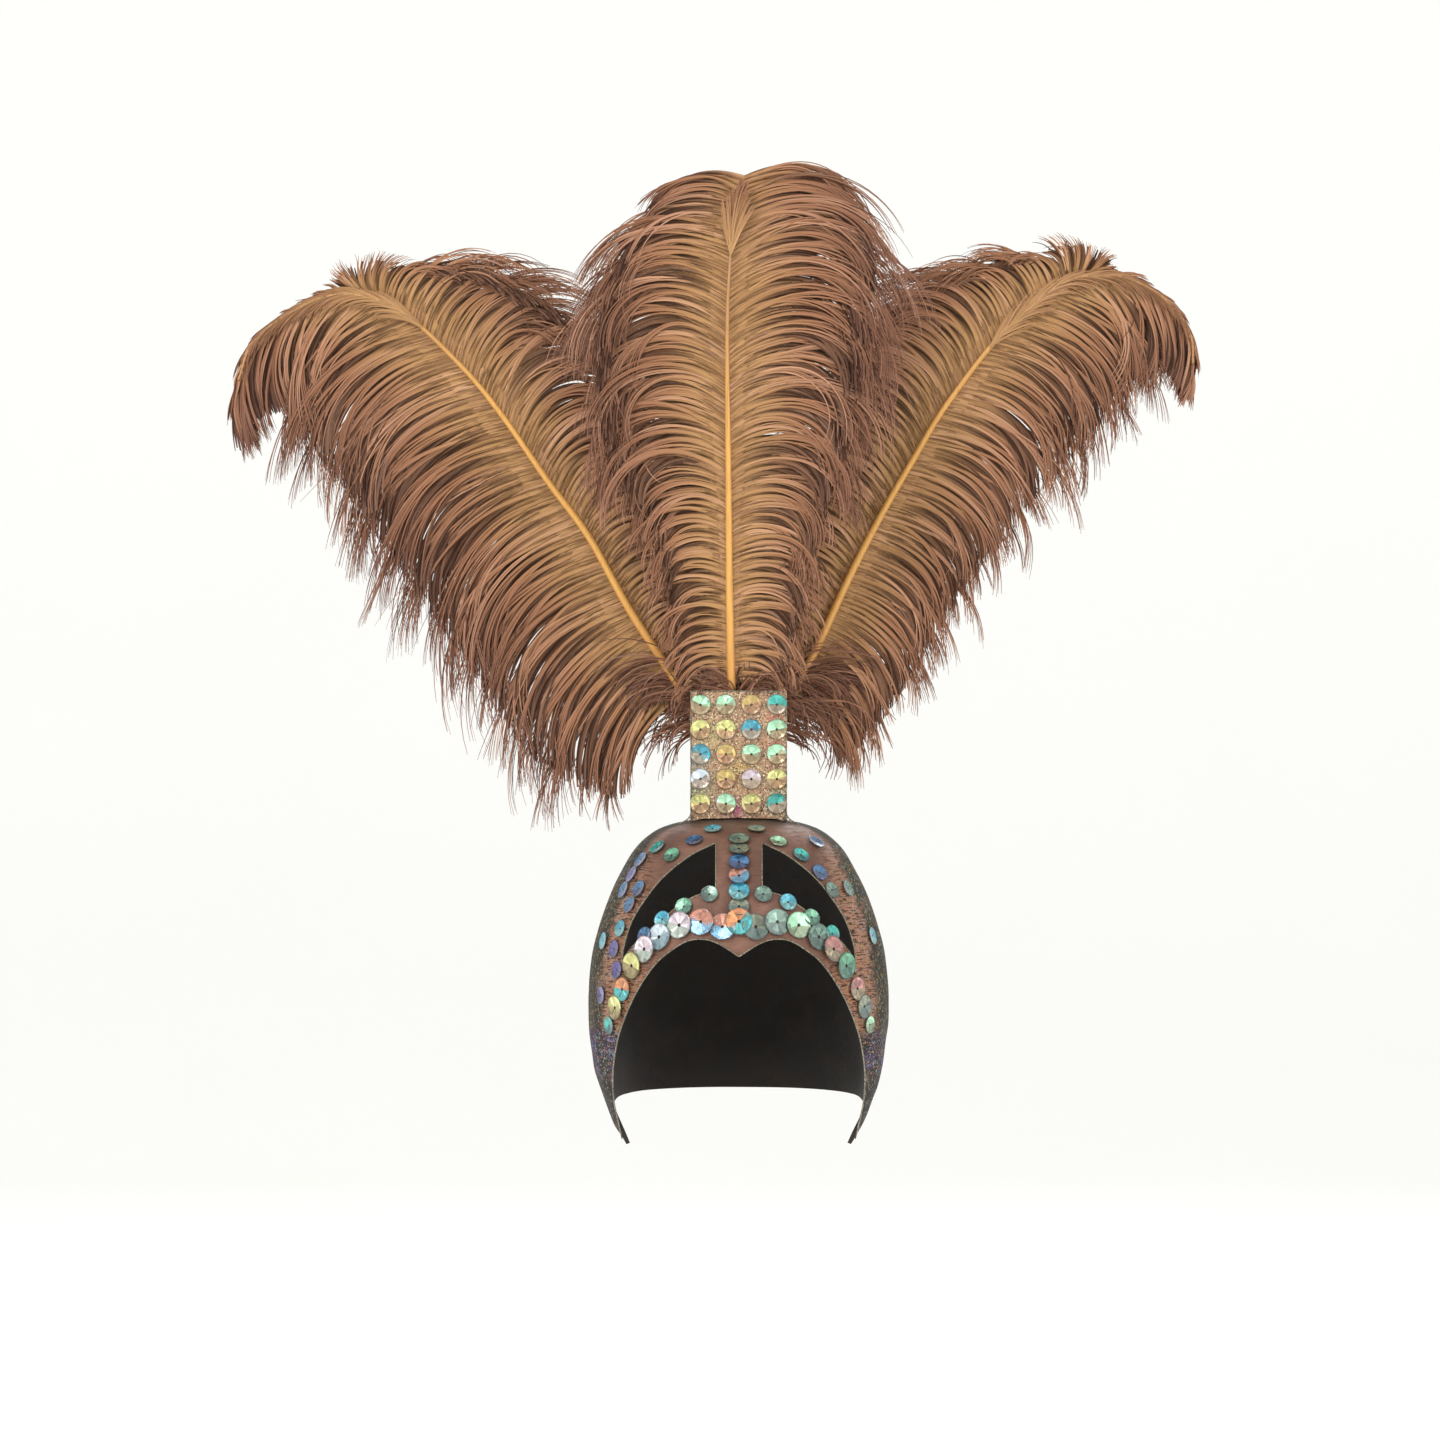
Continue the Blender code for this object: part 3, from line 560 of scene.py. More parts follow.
@dataclass(frozen=True)
class LiningFinish:
    """Near-black woven lining inside the cap and on its cut edges."""

    dark: Colour = paint(26, 21, 18)
    worn: Colour = paint(58, 47, 36)
    weave_scale: tuple[float, float, float] = (1600.0, 1600.0, 2300.0)
    wear_scale: float = 90.0
    relief: float = 0.0004

    def make(self) -> Finish:
        """Make the material.

        Returns:
            The material.
        """
        bench = Bench("dark_lining", {"Sheen Weight": 0.2, "Sheen Roughness": 0.5})
        weave = bench.speckle(1.0, 1.0, bench.stretch(self.weave_scale))
        wear = bench.speckle(self.wear_scale, 4.0)
        bench.emboss(weave, 0.5, self.relief)
        faded = bench.times(weave, bench.span(wear, 0.35, 0.75))
        colour = bench.blend(faded, self.dark, self.worn)
        return bench.finish(colour, bench.span(wear, 0.3, 0.7, 0.7, 0.92))


@dataclass(frozen=True)
class GlitterClothFinish:
    """Pinkish-brown glitter cloth with pale and dark specks, and painted coloured reflections of
    the sequins in places.
    """

    base: Colour = paint(170, 124, 94)
    pale: Colour = paint(244, 228, 190)
    dark: Colour = paint(54, 38, 28)
    patch_scale: float = 140.0
    flake_scale: float = 1500.0
    fine_scale: float = 2600.0
    crumple_scale: float = 260.0
    relief: float = 0.0006

    def make(self) -> Finish:
        """Make the material.

        Returns:
            The material.
        """
        bench = Bench("glitter_cloth_painted_reflection", {"Coat Weight": 0.2, "Coat Roughness": 0.15})
        bright, deep, height = bench.split(bench.cells(self.flake_scale, "Color"))
        fine = bench.split(bench.cells(self.fine_scale, "Color"))[0]
        # Painted reflection: colours that the sequins throw on the cloth, in patches and on fine
        # specks.
        tint = bench.mark("tint", "Color")
        cloth = bench.blend(bench.speckle(self.patch_scale, 4.0), self.base, tint)
        cloth = bench.blend(bench.span(bright, 0.66, 0.94), cloth, self.pale)
        cloth = bench.blend(bench.span(deep, 0.74, 0.92, 0.0, 0.9), cloth, self.dark)
        cloth = bench.blend(bench.span(fine, 0.8, 0.96), cloth, tint)
        crumple = bench.times(bench.speckle(self.crumple_scale), 1.4)
        bench.emboss(bench.plus(height, crumple), 0.55, self.relief)
        roughness = bench.span(height, 0.0, 1.0, 0.2, 0.6)
        return bench.finish(cloth, roughness, bench.span(bright, 0.5, 0.9, 0.1, 0.6))


@dataclass(frozen=True)
class FoilFinish:
    """Shiny foil of the sequins, coloured facet by facet with painted reflections and glints."""

    scratch: Colour = paint(96, 88, 76)
    wear_scale: float = 700.0
    dent_scale: float = 1100.0
    relief: float = 0.0005

    def make(self) -> Finish:
        """Make the material.

        Returns:
            The material.
        """
        settings = {"Metallic": 0.30, "Coat Weight": 0.6, "Coat Roughness": 0.06}
        bench = Bench("changing_foil_painted_reflection", {**settings, "Specular IOR Level": 0.5})
        wear = bench.speckle(self.wear_scale)
        worn = bench.span(wear, 0.62, 0.78, 0.0, 0.5)
        colour = bench.blend(worn, bench.mark("foil", "Color"), self.scratch)
        bench.emboss(bench.speckle(self.dent_scale, 2.0), 0.22, self.relief)
        return bench.finish(colour, bench.span(wear, 0.3, 0.7, 0.12, 0.3))


@dataclass(frozen=True)
class WireFinish:
    """Pale twisted wire sewn along the cap's edges."""

    pale: Colour = paint(158, 148, 126)
    dull: Colour = paint(72, 62, 48)
    twist_scale: float = 1300.0
    relief: float = 0.0003

    def make(self) -> Finish:
        """Make the material.

        Returns:
            The material.
        """
        bench = Bench("edge_wire", {"Metallic": 0.35, "Roughness": 0.35})
        twist = bench.speckle(self.twist_scale, 2.0)
        bench.emboss(twist, 0.5, self.relief)
        return bench.finish(bench.blend(bench.span(twist, 0.4, 0.65), self.pale, self.dull))


@dataclass(frozen=True)
class FeltFinish:
    """Brown felt of the block that grips the quills."""

    light: Colour = paint(112, 80, 58)
    dark: Colour = paint(66, 44, 32)
    nap_scale: float = 900.0
    patch_scale: float = 160.0
    relief: float = 0.0007

    def make(self) -> Finish:
        """Make the material.

        Returns:
            The material.
        """
        bench = Bench("socket_felt", {"Sheen Weight": 0.4, "Sheen Roughness": 0.6})
        nap = bench.speckle(self.nap_scale, 5.0)
        bench.emboss(nap, 0.7, self.relief)
        patches = bench.span(bench.speckle(self.patch_scale, 4.0), 0.35, 0.7)
        colour = bench.blend(patches, self.dark, self.light)
        colour = bench.blend(bench.span(nap, 0.5, 0.7, 0.0, 0.5), colour, self.dark)
        return bench.finish(colour, bench.span(nap, 0.3, 0.7, 0.75, 0.95))


@dataclass(frozen=True)
class StudioFinish:
    """Pale even paper of the studio."""

    paper: Colour = paint(252, 252, 250)
    shade: Colour = paint(249, 249, 246)
    patch_scale: float = 3.0

    def make(self) -> Finish:
        """Make the material.

        Returns:
            The material.
        """
        bench = Bench("studio_paper", {"Roughness": 0.9, "Specular IOR Level": 0.1})
        patches = bench.span(bench.speckle(self.patch_scale), 0.3, 0.7, 0.0, 0.3)
        return bench.finish(bench.blend(patches, self.paper, self.shade))


def scatter(rng: Chance, tuft: Array, among: float, within: float) -> Array:
    """Draw a chance number for each tuft, and add a smaller one for each of its hairs.

    Args:
        rng: Seeded source of chance.
        tuft: Number of each hair's tuft, in order.
        among: Spread from tuft to tuft.
        within: Spread from hair to hair.

    Returns:
        One number for each hair.
    """
    return rng.normal(0, among, tuft[-1] + 1)[tuft] + rng.normal(0, within, len(tuft))


def stations(steps: int) -> tuple[Array, Array]:
    """Shares of a hair's length: at the middle of each step, and at each point."""
    return (np.arange(steps) + 0.5) / steps, np.arange(steps + 1) / steps


def grow(start: Array, angle: Array, length: Array, depth: Array) -> tuple[Array, Array]:
    """Run hairs step by step through the front plane.

    Args:
        start: Root of each hair.
        angle: Direction of each step in the front plane, in radians, hair by hair.
        length: Length of each hair.
        depth: Distance behind the root at each point, hair by hair.

    Returns:
        Points and sideways directions, each of hairs by points by three.
    """
    steps = angle.shape[1]
    stride = (length / steps)[:, None]
    zero = np.zeros((len(start), 1))
    across = np.hstack([zero, np.cumsum(np.cos(angle) * stride, axis=1)])
    up = np.hstack([zero, np.cumsum(np.sin(angle) * stride, axis=1)])
    points = start[:, None, :] + np.stack([across, depth, up], axis=2)
    node = np.hstack([angle[:, :1], (angle[:, 1:] + angle[:, :-1]) / 2, angle[:, -1:]])
    sideways = np.stack([-np.sin(node), np.zeros_like(node), np.cos(node)], axis=2)
    return points, sideways


class HairBundle:
    """Flat hairs gathered up layer by layer and joined as one piece."""

    def __init__(self) -> None:
        """Start empty."""
        self.points: list[Array] = []
        self.quads: list[Array] = []
        self.marks: dict[str, list[Array]] = {"along": [], "painted_light": [], "tone": []}
        self.count = 0

    def lay(
        self,
        points: Array,
        sideways: Array,
        width: Array,
        roll: Array,
        along: Array,
        painted_light: Array,
        tone: Array,
    ) -> None:
        """Add a layer of hairs.

        Args:
            points: Middle lines, hairs by points by three.
            sideways: Direction across each hair, same shape.
            width: Width at each point, hairs by points.
            roll: Turn of each hair about its line, in radians.
            along: Colour place along each hair, hairs by points.
            painted_light: Painted light and shade of the tuft at each point, hairs by points.
            tone: Random share of painted highlight for each hair.
        """
        hairs, places = width.shape
        axis = np.array([0.0, 1.0, 0.0])
        lean = np.cos(roll)[:, None, None] * sideways + np.sin(roll)[:, None, None] * axis
        edge = lean * (width / 2)[:, :, None]
        strip = np.stack([points - edge, points + edge], axis=2)
        hair, step = np.arange(hairs)[:, None], np.arange(places - 1)[None, :]
        first = (hair * places + step) * 2 + self.count
        quads = np.stack([first, first + 1, first + 3, first + 2], axis=2)
        self.points.append(strip.reshape(-1, 3))
        self.quads.append(quads.reshape(-1, 4))
        self.marks["along"].append(np.repeat(along.reshape(-1), 2))
        self.marks["painted_light"].append(np.repeat(painted_light.reshape(-1), 2))
        self.marks["tone"].append(np.repeat(tone, places * 2))
        self.count += hairs * places * 2

    def join(self, name: str) -> Piece:
        """Make one piece of every layer."""
        mesh = mesh_from_arrays(name, np.vstack(self.points), np.vstack(self.quads))
        for mark, values in self.marks.items():
            write_mark(mesh, mark, np.concatenate(values))
        return link(name, mesh)


def sag(angle: Array, part: Array, pull: float) -> Array:
    """Let hairs hang more and more towards their tips.

    Args:
        angle: Direction of each step, hair by hair.
        part: Share of the length at each step.
        pull: How strongly the weight bends them.

    Returns:
        The bent directions.
    """
    bent = np.empty_like(angle)
    fallen = np.zeros(len(angle))
    for step, share in enumerate(part):
        bent[:, step] = angle[:, step] + fallen
        fallen = fallen - pull * np.cos(bent[:, step]) * share / len(part)
    return bent


@dataclass
class TuftLayer:
    """How one layer of a vane is made up of tufts."""

    pitch: float
    hairs: int
    width: float
    lift: float
    gather: float
    reach: float
    # Range of painted light, from a tuft's edges to its crest.
    painted_light_low: float
    painted_light_high: float
    unrest: float
    taper: float
    clumping: float


@dataclass
class Clumps:
    """How the tufts on one side of a shaft hang together as larger locks."""

    edges: Array
    centres: Array
    bends: Array
    stretches: Array
    depths: Array

    @classmethod
    def shuffle(cls, count: int, rng: Chance) -> "Clumps":
        """Spread locks unevenly along a shaft.

        Args:
            count: Number of locks.
            rng: Seeded source of chance.

        Returns:
            The locks.
        """
        edges = (np.arange(count + 1) + rng.uniform(-0.35, 0.35, count + 1)) / count
        bends = rng.normal(0, 0.10, count)
        stretches = 1 + rng.normal(0, 0.06, count)
        depths = rng.normal(0, 0.0022, count)
        return cls(edges, (edges[1:] + edges[:-1]) / 2, bends, stretches, depths)

    def find(self, station: Array) -> Array:
        """Number of the lock at each station."""
        return np.clip(np.searchsorted(self.edges, station) - 1, 0, len(self.centres) - 1)


@dataclass
class Tufts:
    """Hairs of one layer on one side of a shaft, and where each one sits."""

    side: int
    tuft: Array
    middle: Array
    lean: Array
    station: Array
    clump: Array


@dataclass
class Plume:
    """One ostrich plume: its golden shaft and the drooping barbs on both sides of it."""

    name: str
    path: Rows
    locks: Rows
    rise: float
    reach: float
    sweep: float
    seat: float
    first: float
    cover_start: float
    seed: int
    side: int = 1
    tip_darkness: float = 0.36
    quill_thickness: float = 0.0056
    tip_thickness: float = 0.0012
    vane_gap: float = 0.0010
    vane_thickness: float = 0.0024
    vane_bow: float = 0.036
    barb_length: float = 0.130
    clump_pitch: float = 0.0125
    clump_gather: float = 0.50
    weight: float = 0.9
    cover_hairs: int = 300
    rings: int = 120
    facets: int = 14
    steps: int = 18
    turn_power: float = 1.2
    bend_power: float = 2.2
    sway_waves: float = 7.0
    # Painted shade: the first layer is a core of wider hairs behind the others, kept at low painted
    # light so that it shows as the shade between the tufts.
    layers: tuple[TuftLayer, ...] = (
        TuftLayer(0.0036, 6, 0.0023, -0.0002, 0.0, 0.85, -0.14, 0.32, 0.05, 0.66, 0.0),
        TuftLayer(0.0032, 9, 0.00092, 0.0024, 0.80, 0.96, 0.12, 0.98, 1.0, 0.78, 1.0),
        TuftLayer(0.0037, 7, 0.00104, -0.0026, 0.76, 0.94, 0.12, 0.92, 1.2, 0.78, 0.8),
    )
    line: Array = field(init=False)
    shares: Array = field(init=False)
    headings: Array = field(init=False)
    shaft_length: float = field(init=False)
    feathered: float = field(init=False)
    clumps: dict[int, Clumps] = field(init=False)

    def __post_init__(self) -> None:
        """Work out the shaft's middle line and the locks beside it."""
        rows = [
            (self.side * x * self.reach, self.seat + y * self.sweep, z * self.rise)
            for x, z, y in self.path
        ]
        self.line = smooth_rows(rows, 20)
        strides = np.linalg.norm(np.diff(self.line, axis=0), axis=1)
        lengths = np.concatenate([[0.0], np.cumsum(strides)])
        self.shaft_length = lengths[-1]
        self.shares = lengths / self.shaft_length
        ahead = np.gradient(self.line, axis=0)
        self.headings = np.unwrap(np.arctan2(ahead[:, 2], ahead[:, 0]))
        self.feathered = self.shaft_length * (1 - self.first)
        count = round(self.feathered / self.clump_pitch)
        rng = np.random.default_rng(self.seed * 10)
        self.clumps = {side: Clumps.shuffle(count, rng) for side in SIDES}

    def shaft_points(self, share: Array) -> Array:
        """Points of the shaft at shares of its length."""
        axes = [np.interp(share, self.shares, self.line[:, axis]) for axis in range(3)]
        return np.stack(axes, axis=-1)

    def radius(self, share: Array) -> Array:
        """Half thickness of the shaft at shares of its length."""
        return (self.quill_thickness + (self.tip_thickness - self.quill_thickness) * share) / 2

    def lock_value(self, tufts: Tufts, column: int) -> Array:
        """Read a column of the table of locks.

        Args:
            tufts: Hairs to read it for.
            column: 0 for the length share, 1 for the leave angle and 2 for the turn.

        Returns:
            The values, turned into radians where they are angles.
        """
        table = np.array(self.locks)
        first = 1 if tufts.side < 0 else 4
        value = np.interp(tufts.station, table[:, 0], table[:, first + column])
        return value if column == 0 else np.radians(value)

    def spread_tufts(self, layer: TuftLayer, side: int, rng: Chance) -> Tufts:
        """Spread the hairs of one layer along one side of the shaft.

        Args:
            layer: Make-up of the layer.
            side: -1 for the left of the shaft and 1 for its right.
            rng: Seeded source of chance.

        Returns:
            The hairs.
        """
        count = int(self.feathered / layer.pitch)
        middle = (np.arange(count) + 0.5 + rng.uniform(-0.25, 0.25, count)) / count
        tuft = np.repeat(np.arange(count), layer.hairs)
        lean = np.tile(np.linspace(-1, 1, layer.hairs), count) + rng.normal(0, 0.10, len(tuft))
        station = np.clip(middle[tuft] + lean / 2 / count, 0.0, 1.0)
        return Tufts(side, tuft, middle, lean, station, self.clumps[side].find(middle)[tuft])

    def directions(self, tufts: Tufts, layer: TuftLayer, leave: Array, rng: Chance) -> Array:
        """Work out how each hair runs: out of the shaft, round its turn and down.

        Args:
            tufts: The hairs.
            layer: Make-up of the layer.
            leave: Angle at which each hair leaves the shaft.
            rng: Seeded source of chance.

        Returns:
            Direction of each step in the front plane, hair by hair.
        """
        tuft, count, hairs = tufts.tuft, len(tufts.middle), len(tufts.tuft)
        part, _ = stations(self.steps)
        stray = np.where(
            rng.random(count) < 0.08, rng.normal(0, 0.38, count), rng.normal(0, 0.15, count)
        )[tuft]
        stray += np.where(
            rng.random(hairs) < 0.03, rng.normal(0, 0.40, hairs), rng.normal(0, 0.045, hairs)
        )
        stray *= 1 - 0.75 * ease(tufts.station, 0.80, 0.95)
        locks = self.clumps[tufts.side].bends[tufts.clump]
        bend = locks * layer.clumping + stray * layer.unrest
        sway = scatter(rng, tuft, 0.06, 0.02) * layer.unrest
        phase = rng.uniform(0, 2 * math.pi, count)[tuft]
        place = self.first + (1 - self.first) * tufts.station
        heading = np.interp(place, self.shares, self.headings) - tufts.side * leave
        angle = heading[:, None] + self.lock_value(tufts, 2)[:, None] * part**self.turn_power
        angle -= tufts.side * bend[:, None] * part**self.bend_power
        angle += sway[:, None] * np.sin(phase[:, None] + self.sway_waves * part)
        return sag(angle, part, self.weight)

    def lay_tufts(self, bundle: HairBundle, layer: TuftLayer, side: int, rng: Chance) -> None:
        """Lay one layer of tufts on one side of the shaft.

        Args:
            bundle: Bundle that gets the hairs.
            layer: Make-up of the layer.
            side: -1 for the left of the shaft and 1 for its right.
            rng: Seeded source of chance.
        """
        tufts = self.spread_tufts(layer, side, rng)
        tuft, lean, station, clump = tufts.tuft, tufts.lean, tufts.station, tufts.clump
        clumps, count, hairs = self.clumps[side], len(tufts.middle), len(tufts.tuft)
        length = self.lock_value(tufts, 0) * self.barb_length * layer.reach
        length *= 1 + (clumps.stretches[clump] - 1) * layer.clumping
        length *= (1 + rng.normal(0, 0.08, count) * layer.unrest)[tuft]
        length *= 1 - np.abs(rng.normal(0, 0.06, hairs))
        leave = self.lock_value(tufts, 1) + rng.normal(0, 0.03, count)[tuft] * layer.unrest
        angle = self.directions(tufts, layer, leave, rng)
        _, node = stations(self.steps)

        # Behind the shaft at the root, then bowed forward, with its layer's lift and ripple.
        place = self.first + (1 - self.first) * station
        behind = self.radius(place) + self.vane_gap + self.vane_thickness / 2
        bow = self.vane_bow * np.sin(leave) * length / self.barb_length
        rise = layer.lift * ease(node, 0.05, 0.5)
        rise = rise * (1.0 - 0.6 * np.clip(lean, -1, 1)[:, None] ** 2)
        ripple = scatter(rng, tuft, 0.0015, 0.0005) * layer.unrest
        ripple = (clumps.depths[clump] + ripple)[:, None] * node
        depth = behind[:, None] * ease(node, 0.0, 0.14) - bow[:, None] * node**1.6 - rise + ripple
        points, sideways = grow(self.shaft_points(place), angle, length, depth)

        # Drawn together, first into tufts and then into larger locks.
        slant = side * self.feathered * np.maximum(np.sin(leave), 0.3)
        draw = layer.gather * (1 + rng.normal(0, 0.12, count)[tuft])
        pull = draw[:, None] * (0.68 * ease(node, 0.06, 0.40) + 0.46 * ease(node, 0.40, 0.92))
        drawn = (lean / 2 / count * slant)[:, None] * pull
        apart = ((tufts.middle[tuft] - clumps.centres[clump]) * slant)[:, None]
        drawn = drawn + apart * self.clump_gather * layer.clumping * ease(node, 0.36, 1.0)
        points -= drawn[:, :, None] * sideways

        width = layer.width * (1 + rng.normal(0, 0.12, hairs))[:, None]
        width = width * (1 - layer.taper * node**2.6)
        # Painted light and shade: lighter on each tuft's crest and near the shaft, darker at its
        # edges.
        crest = 1 - np.clip(np.abs(lean), 0, 1) ** 2
        painted_light = (layer.painted_light_low + (layer.painted_light_high - layer.painted_light_low) * crest)[:, None]
        painted_light = painted_light + 0.42 * (1 - ease(node, 0.02, 0.42))
        darker = rng.normal(0, 0.03, hairs) + self.tip_darkness * ease(station, 0.72, 0.95)
        along = node * (0.62 * length / self.barb_length + 0.32)[:, None] + darker[:, None]
        tone = np.clip(0.5 + scatter(rng, tuft, 0.2, 0.16), 0, 1)
        roll = lean * 0.75 * np.sign(layer.lift)
        bundle.lay(points, sideways, width, roll, along, painted_light, tone)

    def lay_cover(self, bundle: HairBundle, rng: Chance) -> None:
        """Lay short barbs along the front of the shaft's outer part, which they hide.

        Args:
            bundle: Bundle that gets the hairs.
            rng: Seeded source of chance.
        """
        count = self.cover_hairs
        length = rng.uniform(0.014, 0.030, count)
        outer = rng.random(count) ** 1.1
        end = 0.985 - 0.95 * length / self.shaft_length
        place = self.cover_start + (end - self.cover_start) * outer
        side = rng.choice(SIDES, count)
        part, node = stations(self.steps)
        ahead = place[:, None] + (length / self.shaft_length)[:, None] * part
        leave = side * np.radians(rng.uniform(1, 20, count) * (1 - 0.7 * outer))
        heading = np.interp(ahead, self.shares, self.headings)
        angle = sag(heading - leave[:, None], part, self.weight)
        front = self.radius(place) + rng.uniform(0.0002, 0.0012, count)
        even = np.ones_like(node)
        points, sideways = grow(self.shaft_points(place), angle, length, -front[:, None] * even)
        width = rng.uniform(0.0007, 0.0011, count)[:, None] * (1 - 0.7 * node**1.8)
        along = 0.04 + 0.22 * outer[:, None] + 0.16 * node
        # Painted light: mostly lit, a little darker further out along the shaft.
        painted_light = (rng.uniform(0.55, 1.0, count) - 0.25 * outer)[:, None] * even
        roll = rng.uniform(-0.4, 0.4, count)
        bundle.lay(points, sideways, width, roll, along, painted_light, rng.uniform(0.2, 0.8, count))

    def build_vane(self, finish: Finish) -> Piece:
        """Build the barbs of the plume.

        Args:
            finish: Material of the barbs.

        Returns:
            The piece.
        """
        rng = np.random.default_rng(self.seed)
        bundle = HairBundle()
        for layer in self.layers:
            for side in SIDES:
                self.lay_tufts(bundle, layer, side, rng)
        self.lay_cover(bundle, rng)
        piece = bundle.join(f"plume_barbs_{self.name}")
        return settle(piece, finish, "plume", f"plume_vane_{self.name}")

    def build_shaft(self, finish: Finish) -> Piece:
        """Build the golden shaft.

        Args:
            finish: Material of the shaft.

        Returns:
            The piece.
        """
        shape = bmesh.new()
        share = np.linspace(0.0, 1.0, self.rings)
        sweep(shape, self.shaft_points(share), self.radius(share), self.facets)
        piece = piece_from_shape(f"golden_shaft_{self.name}", shape)
        return settle(piece, finish, "quill", f"plume_shaft_{self.name}")


CENTRE_PATH: Rows = (
    (-0.30, 0.045, 0.0),
    (-0.62, 0.205, 0.0),
    (-0.80, 0.360, 0.02),
    (-0.88, 0.530, 0.04),
    (-1.0, 0.750, 0.12),
    (-0.75, 0.865, 0.30),
    (-0.22, 0.952, 0.62),
    (0.56, 1.0, 1.0),
)
LEFT_PATH: Rows = (
    (0.036, 0.074, 0.0),
    (0.097, 0.220, 0.16),
    (0.216, 0.397, 0.40),
    (0.300, 0.539, 0.60),
    (0.381, 0.643, 0.76),
    (0.473, 0.768, 0.90),
    (0.555, 0.862, 0.98),
    (0.676, 0.966, 0.98),
    (0.790, 1.0, 0.88),
    (0.893, 0.966, 0.74),
    (0.972, 0.906, 0.60),
    (1.0, 0.835, 0.50),
)
RIGHT_PATH: Rows = (
    (0.039, 0.065, 0.0),
    (0.102, 0.200, 0.20),
    (0.175, 0.322, 0.45),
    (0.245, 0.448, 0.70),
    (0.315, 0.561, 0.85),
    (0.390, 0.669, 0.95),
    (0.458, 0.762, 1.0),
    (0.581, 0.893, 1.0),
    (0.715, 0.986, 0.90),
    (0.816, 1.0, 0.75),
    (0.884, 0.986, 0.65),
    (0.956, 0.944, 0.50),
    (0.996, 0.888, 0.38),
    (1.0, 0.837, 0.30),
)

# Place along the feathered part; then for the left and for the right side of the shaft the
# length share, the angle at which a lock leaves the shaft and the turn it makes.
CENTRE_LOCKS: Rows = (
    (0.0, 0.27, 78, 60, 0.32, 78, -60),
    (0.12, 0.36, 66, 85, 0.40, 64, -92),
    (0.28, 0.46, 57, 110, 0.56, 58, -110),
    (0.38, 0.62, 54, 118, 0.66, 56, -114),
    (0.50, 0.86, 50, 124, 0.80, 52, -120),
    (0.60, 0.92, 50, 121, 0.90, 50, -119),
    (0.70, 0.92, 50, 118, 0.96, 48, -118),
    (0.86, 0.76, 72, 80, 0.92, 49, -96),
    (1.0, 0.44, 88, 52, 0.72, 48, -74),
)
LEFT_LOCKS: Rows = (
    (0.0, 0.66, 98, 44, 0.18, 62, -40),
    (0.12, 0.96, 84, 60, 0.30, 58, -80),
    (0.30, 1.02, 72, 70, 0.56, 54, -104),
    (0.50, 0.99, 64, 70, 0.78, 50, -112),
    (0.60, 0.96, 58, 71, 0.73, 54, -112),
    (0.67, 0.92, 54, 72, 0.58, 60, -110),
    (0.72, 0.84, 50, 69, 0.28, 62, -102),
    (0.77, 0.70, 45, 66, 0.13, 16, 4),
    (0.84, 0.58, 33, 58, 0.12, 12, 14),
    (0.92, 0.48, 20, 50, 0.14, 6, 28),
    (1.0, 0.38, 5, 26, 0.22, 4, 22),
)
RIGHT_LOCKS: Rows = (
    (0.0, 0.18, 62, 40, 0.48, 98, -42),
    (0.12, 0.32, 58, 80, 0.58, 84, -60),
    (0.30, 0.58, 54, 104, 0.64, 72, -68),
    (0.50, 0.74, 48, 112, 0.74, 64, -66),
    (0.60, 0.66, 54, 108, 0.77, 58, -67),
    (0.67, 0.46, 62, 98, 0.76, 53, -67),
    (0.73, 0.23, 62, 98, 0.68, 47, -62),
    (0.78, 0.13, 14, -6, 0.58, 41, -58),
    (0.84, 0.11, 12, -12, 0.49, 32, -52),
    (0.92, 0.13, 6, -28, 0.38, 20, -44),
    (1.0, 0.20, 4, -22, 0.20, 5, -24),
)

# Drop share, then the shares of the cap's width, front and back.
CAP_SECTIONS: Rows = (
    (0.0, 0.0, 0.0, 0.0),
    (0.006, 0.30, 0.27, 0.25),
    (0.022, 0.47, 0.44, 0.40),
    (0.05, 0.59, 0.58, 0.53),
    (0.10, 0.70, 0.72, 0.68),
    (0.18, 0.80, 0.84, 0.82),
    (0.28, 0.89, 0.93, 0.93),
    (0.40, 0.965, 0.985, 0.99),
    (0.55, 1.0, 1.0, 0.98),
    (0.68, 0.985, 0.99, 0.91),
    (0.80, 0.94, 0.97, 0.83),
    (0.90, 0.87, 0.94, 0.78),
    (1.0, 0.775, 0.90, 0.74),
)
# Edge of the face opening from its point over the brow: share of half the width, drop share.
FACE_EDGE: Rows = (
    (0.0, 0.412),
    (0.130, 0.374),
    (0.230, 0.360),
    (0.333, 0.365),
    (0.437, 0.393),
    (0.537, 0.432),
    (0.639, 0.498),
    (0.721, 0.572),
    (0.783, 0.650),
    (0.813, 0.715),
    (0.827, 0.773),
    (0.823, 0.857),
    (0.792, 0.934),
    (0.765, 1.0),
)
WINDOW_ARCH: Rows = (
    (0.313, 0.108),
    (0.477, 0.167),
    (0.597, 0.232),
    (0.700, 0.309),
    (0.752, 0.385),
    (0.765, 0.436),
)
WINDOW_BROW: Rows = (
    (0.723, 0.402),
    (0.637, 0.356),
    (0.537, 0.319),
    (0.417, 0.269),
    (0.290, 0.232),
)
# Share of the back, drop share.
HEM_EDGE: Rows = ((-0.14, 0.950), (0.08, 0.905), (0.40, 0.868), (1.0, 0.850))


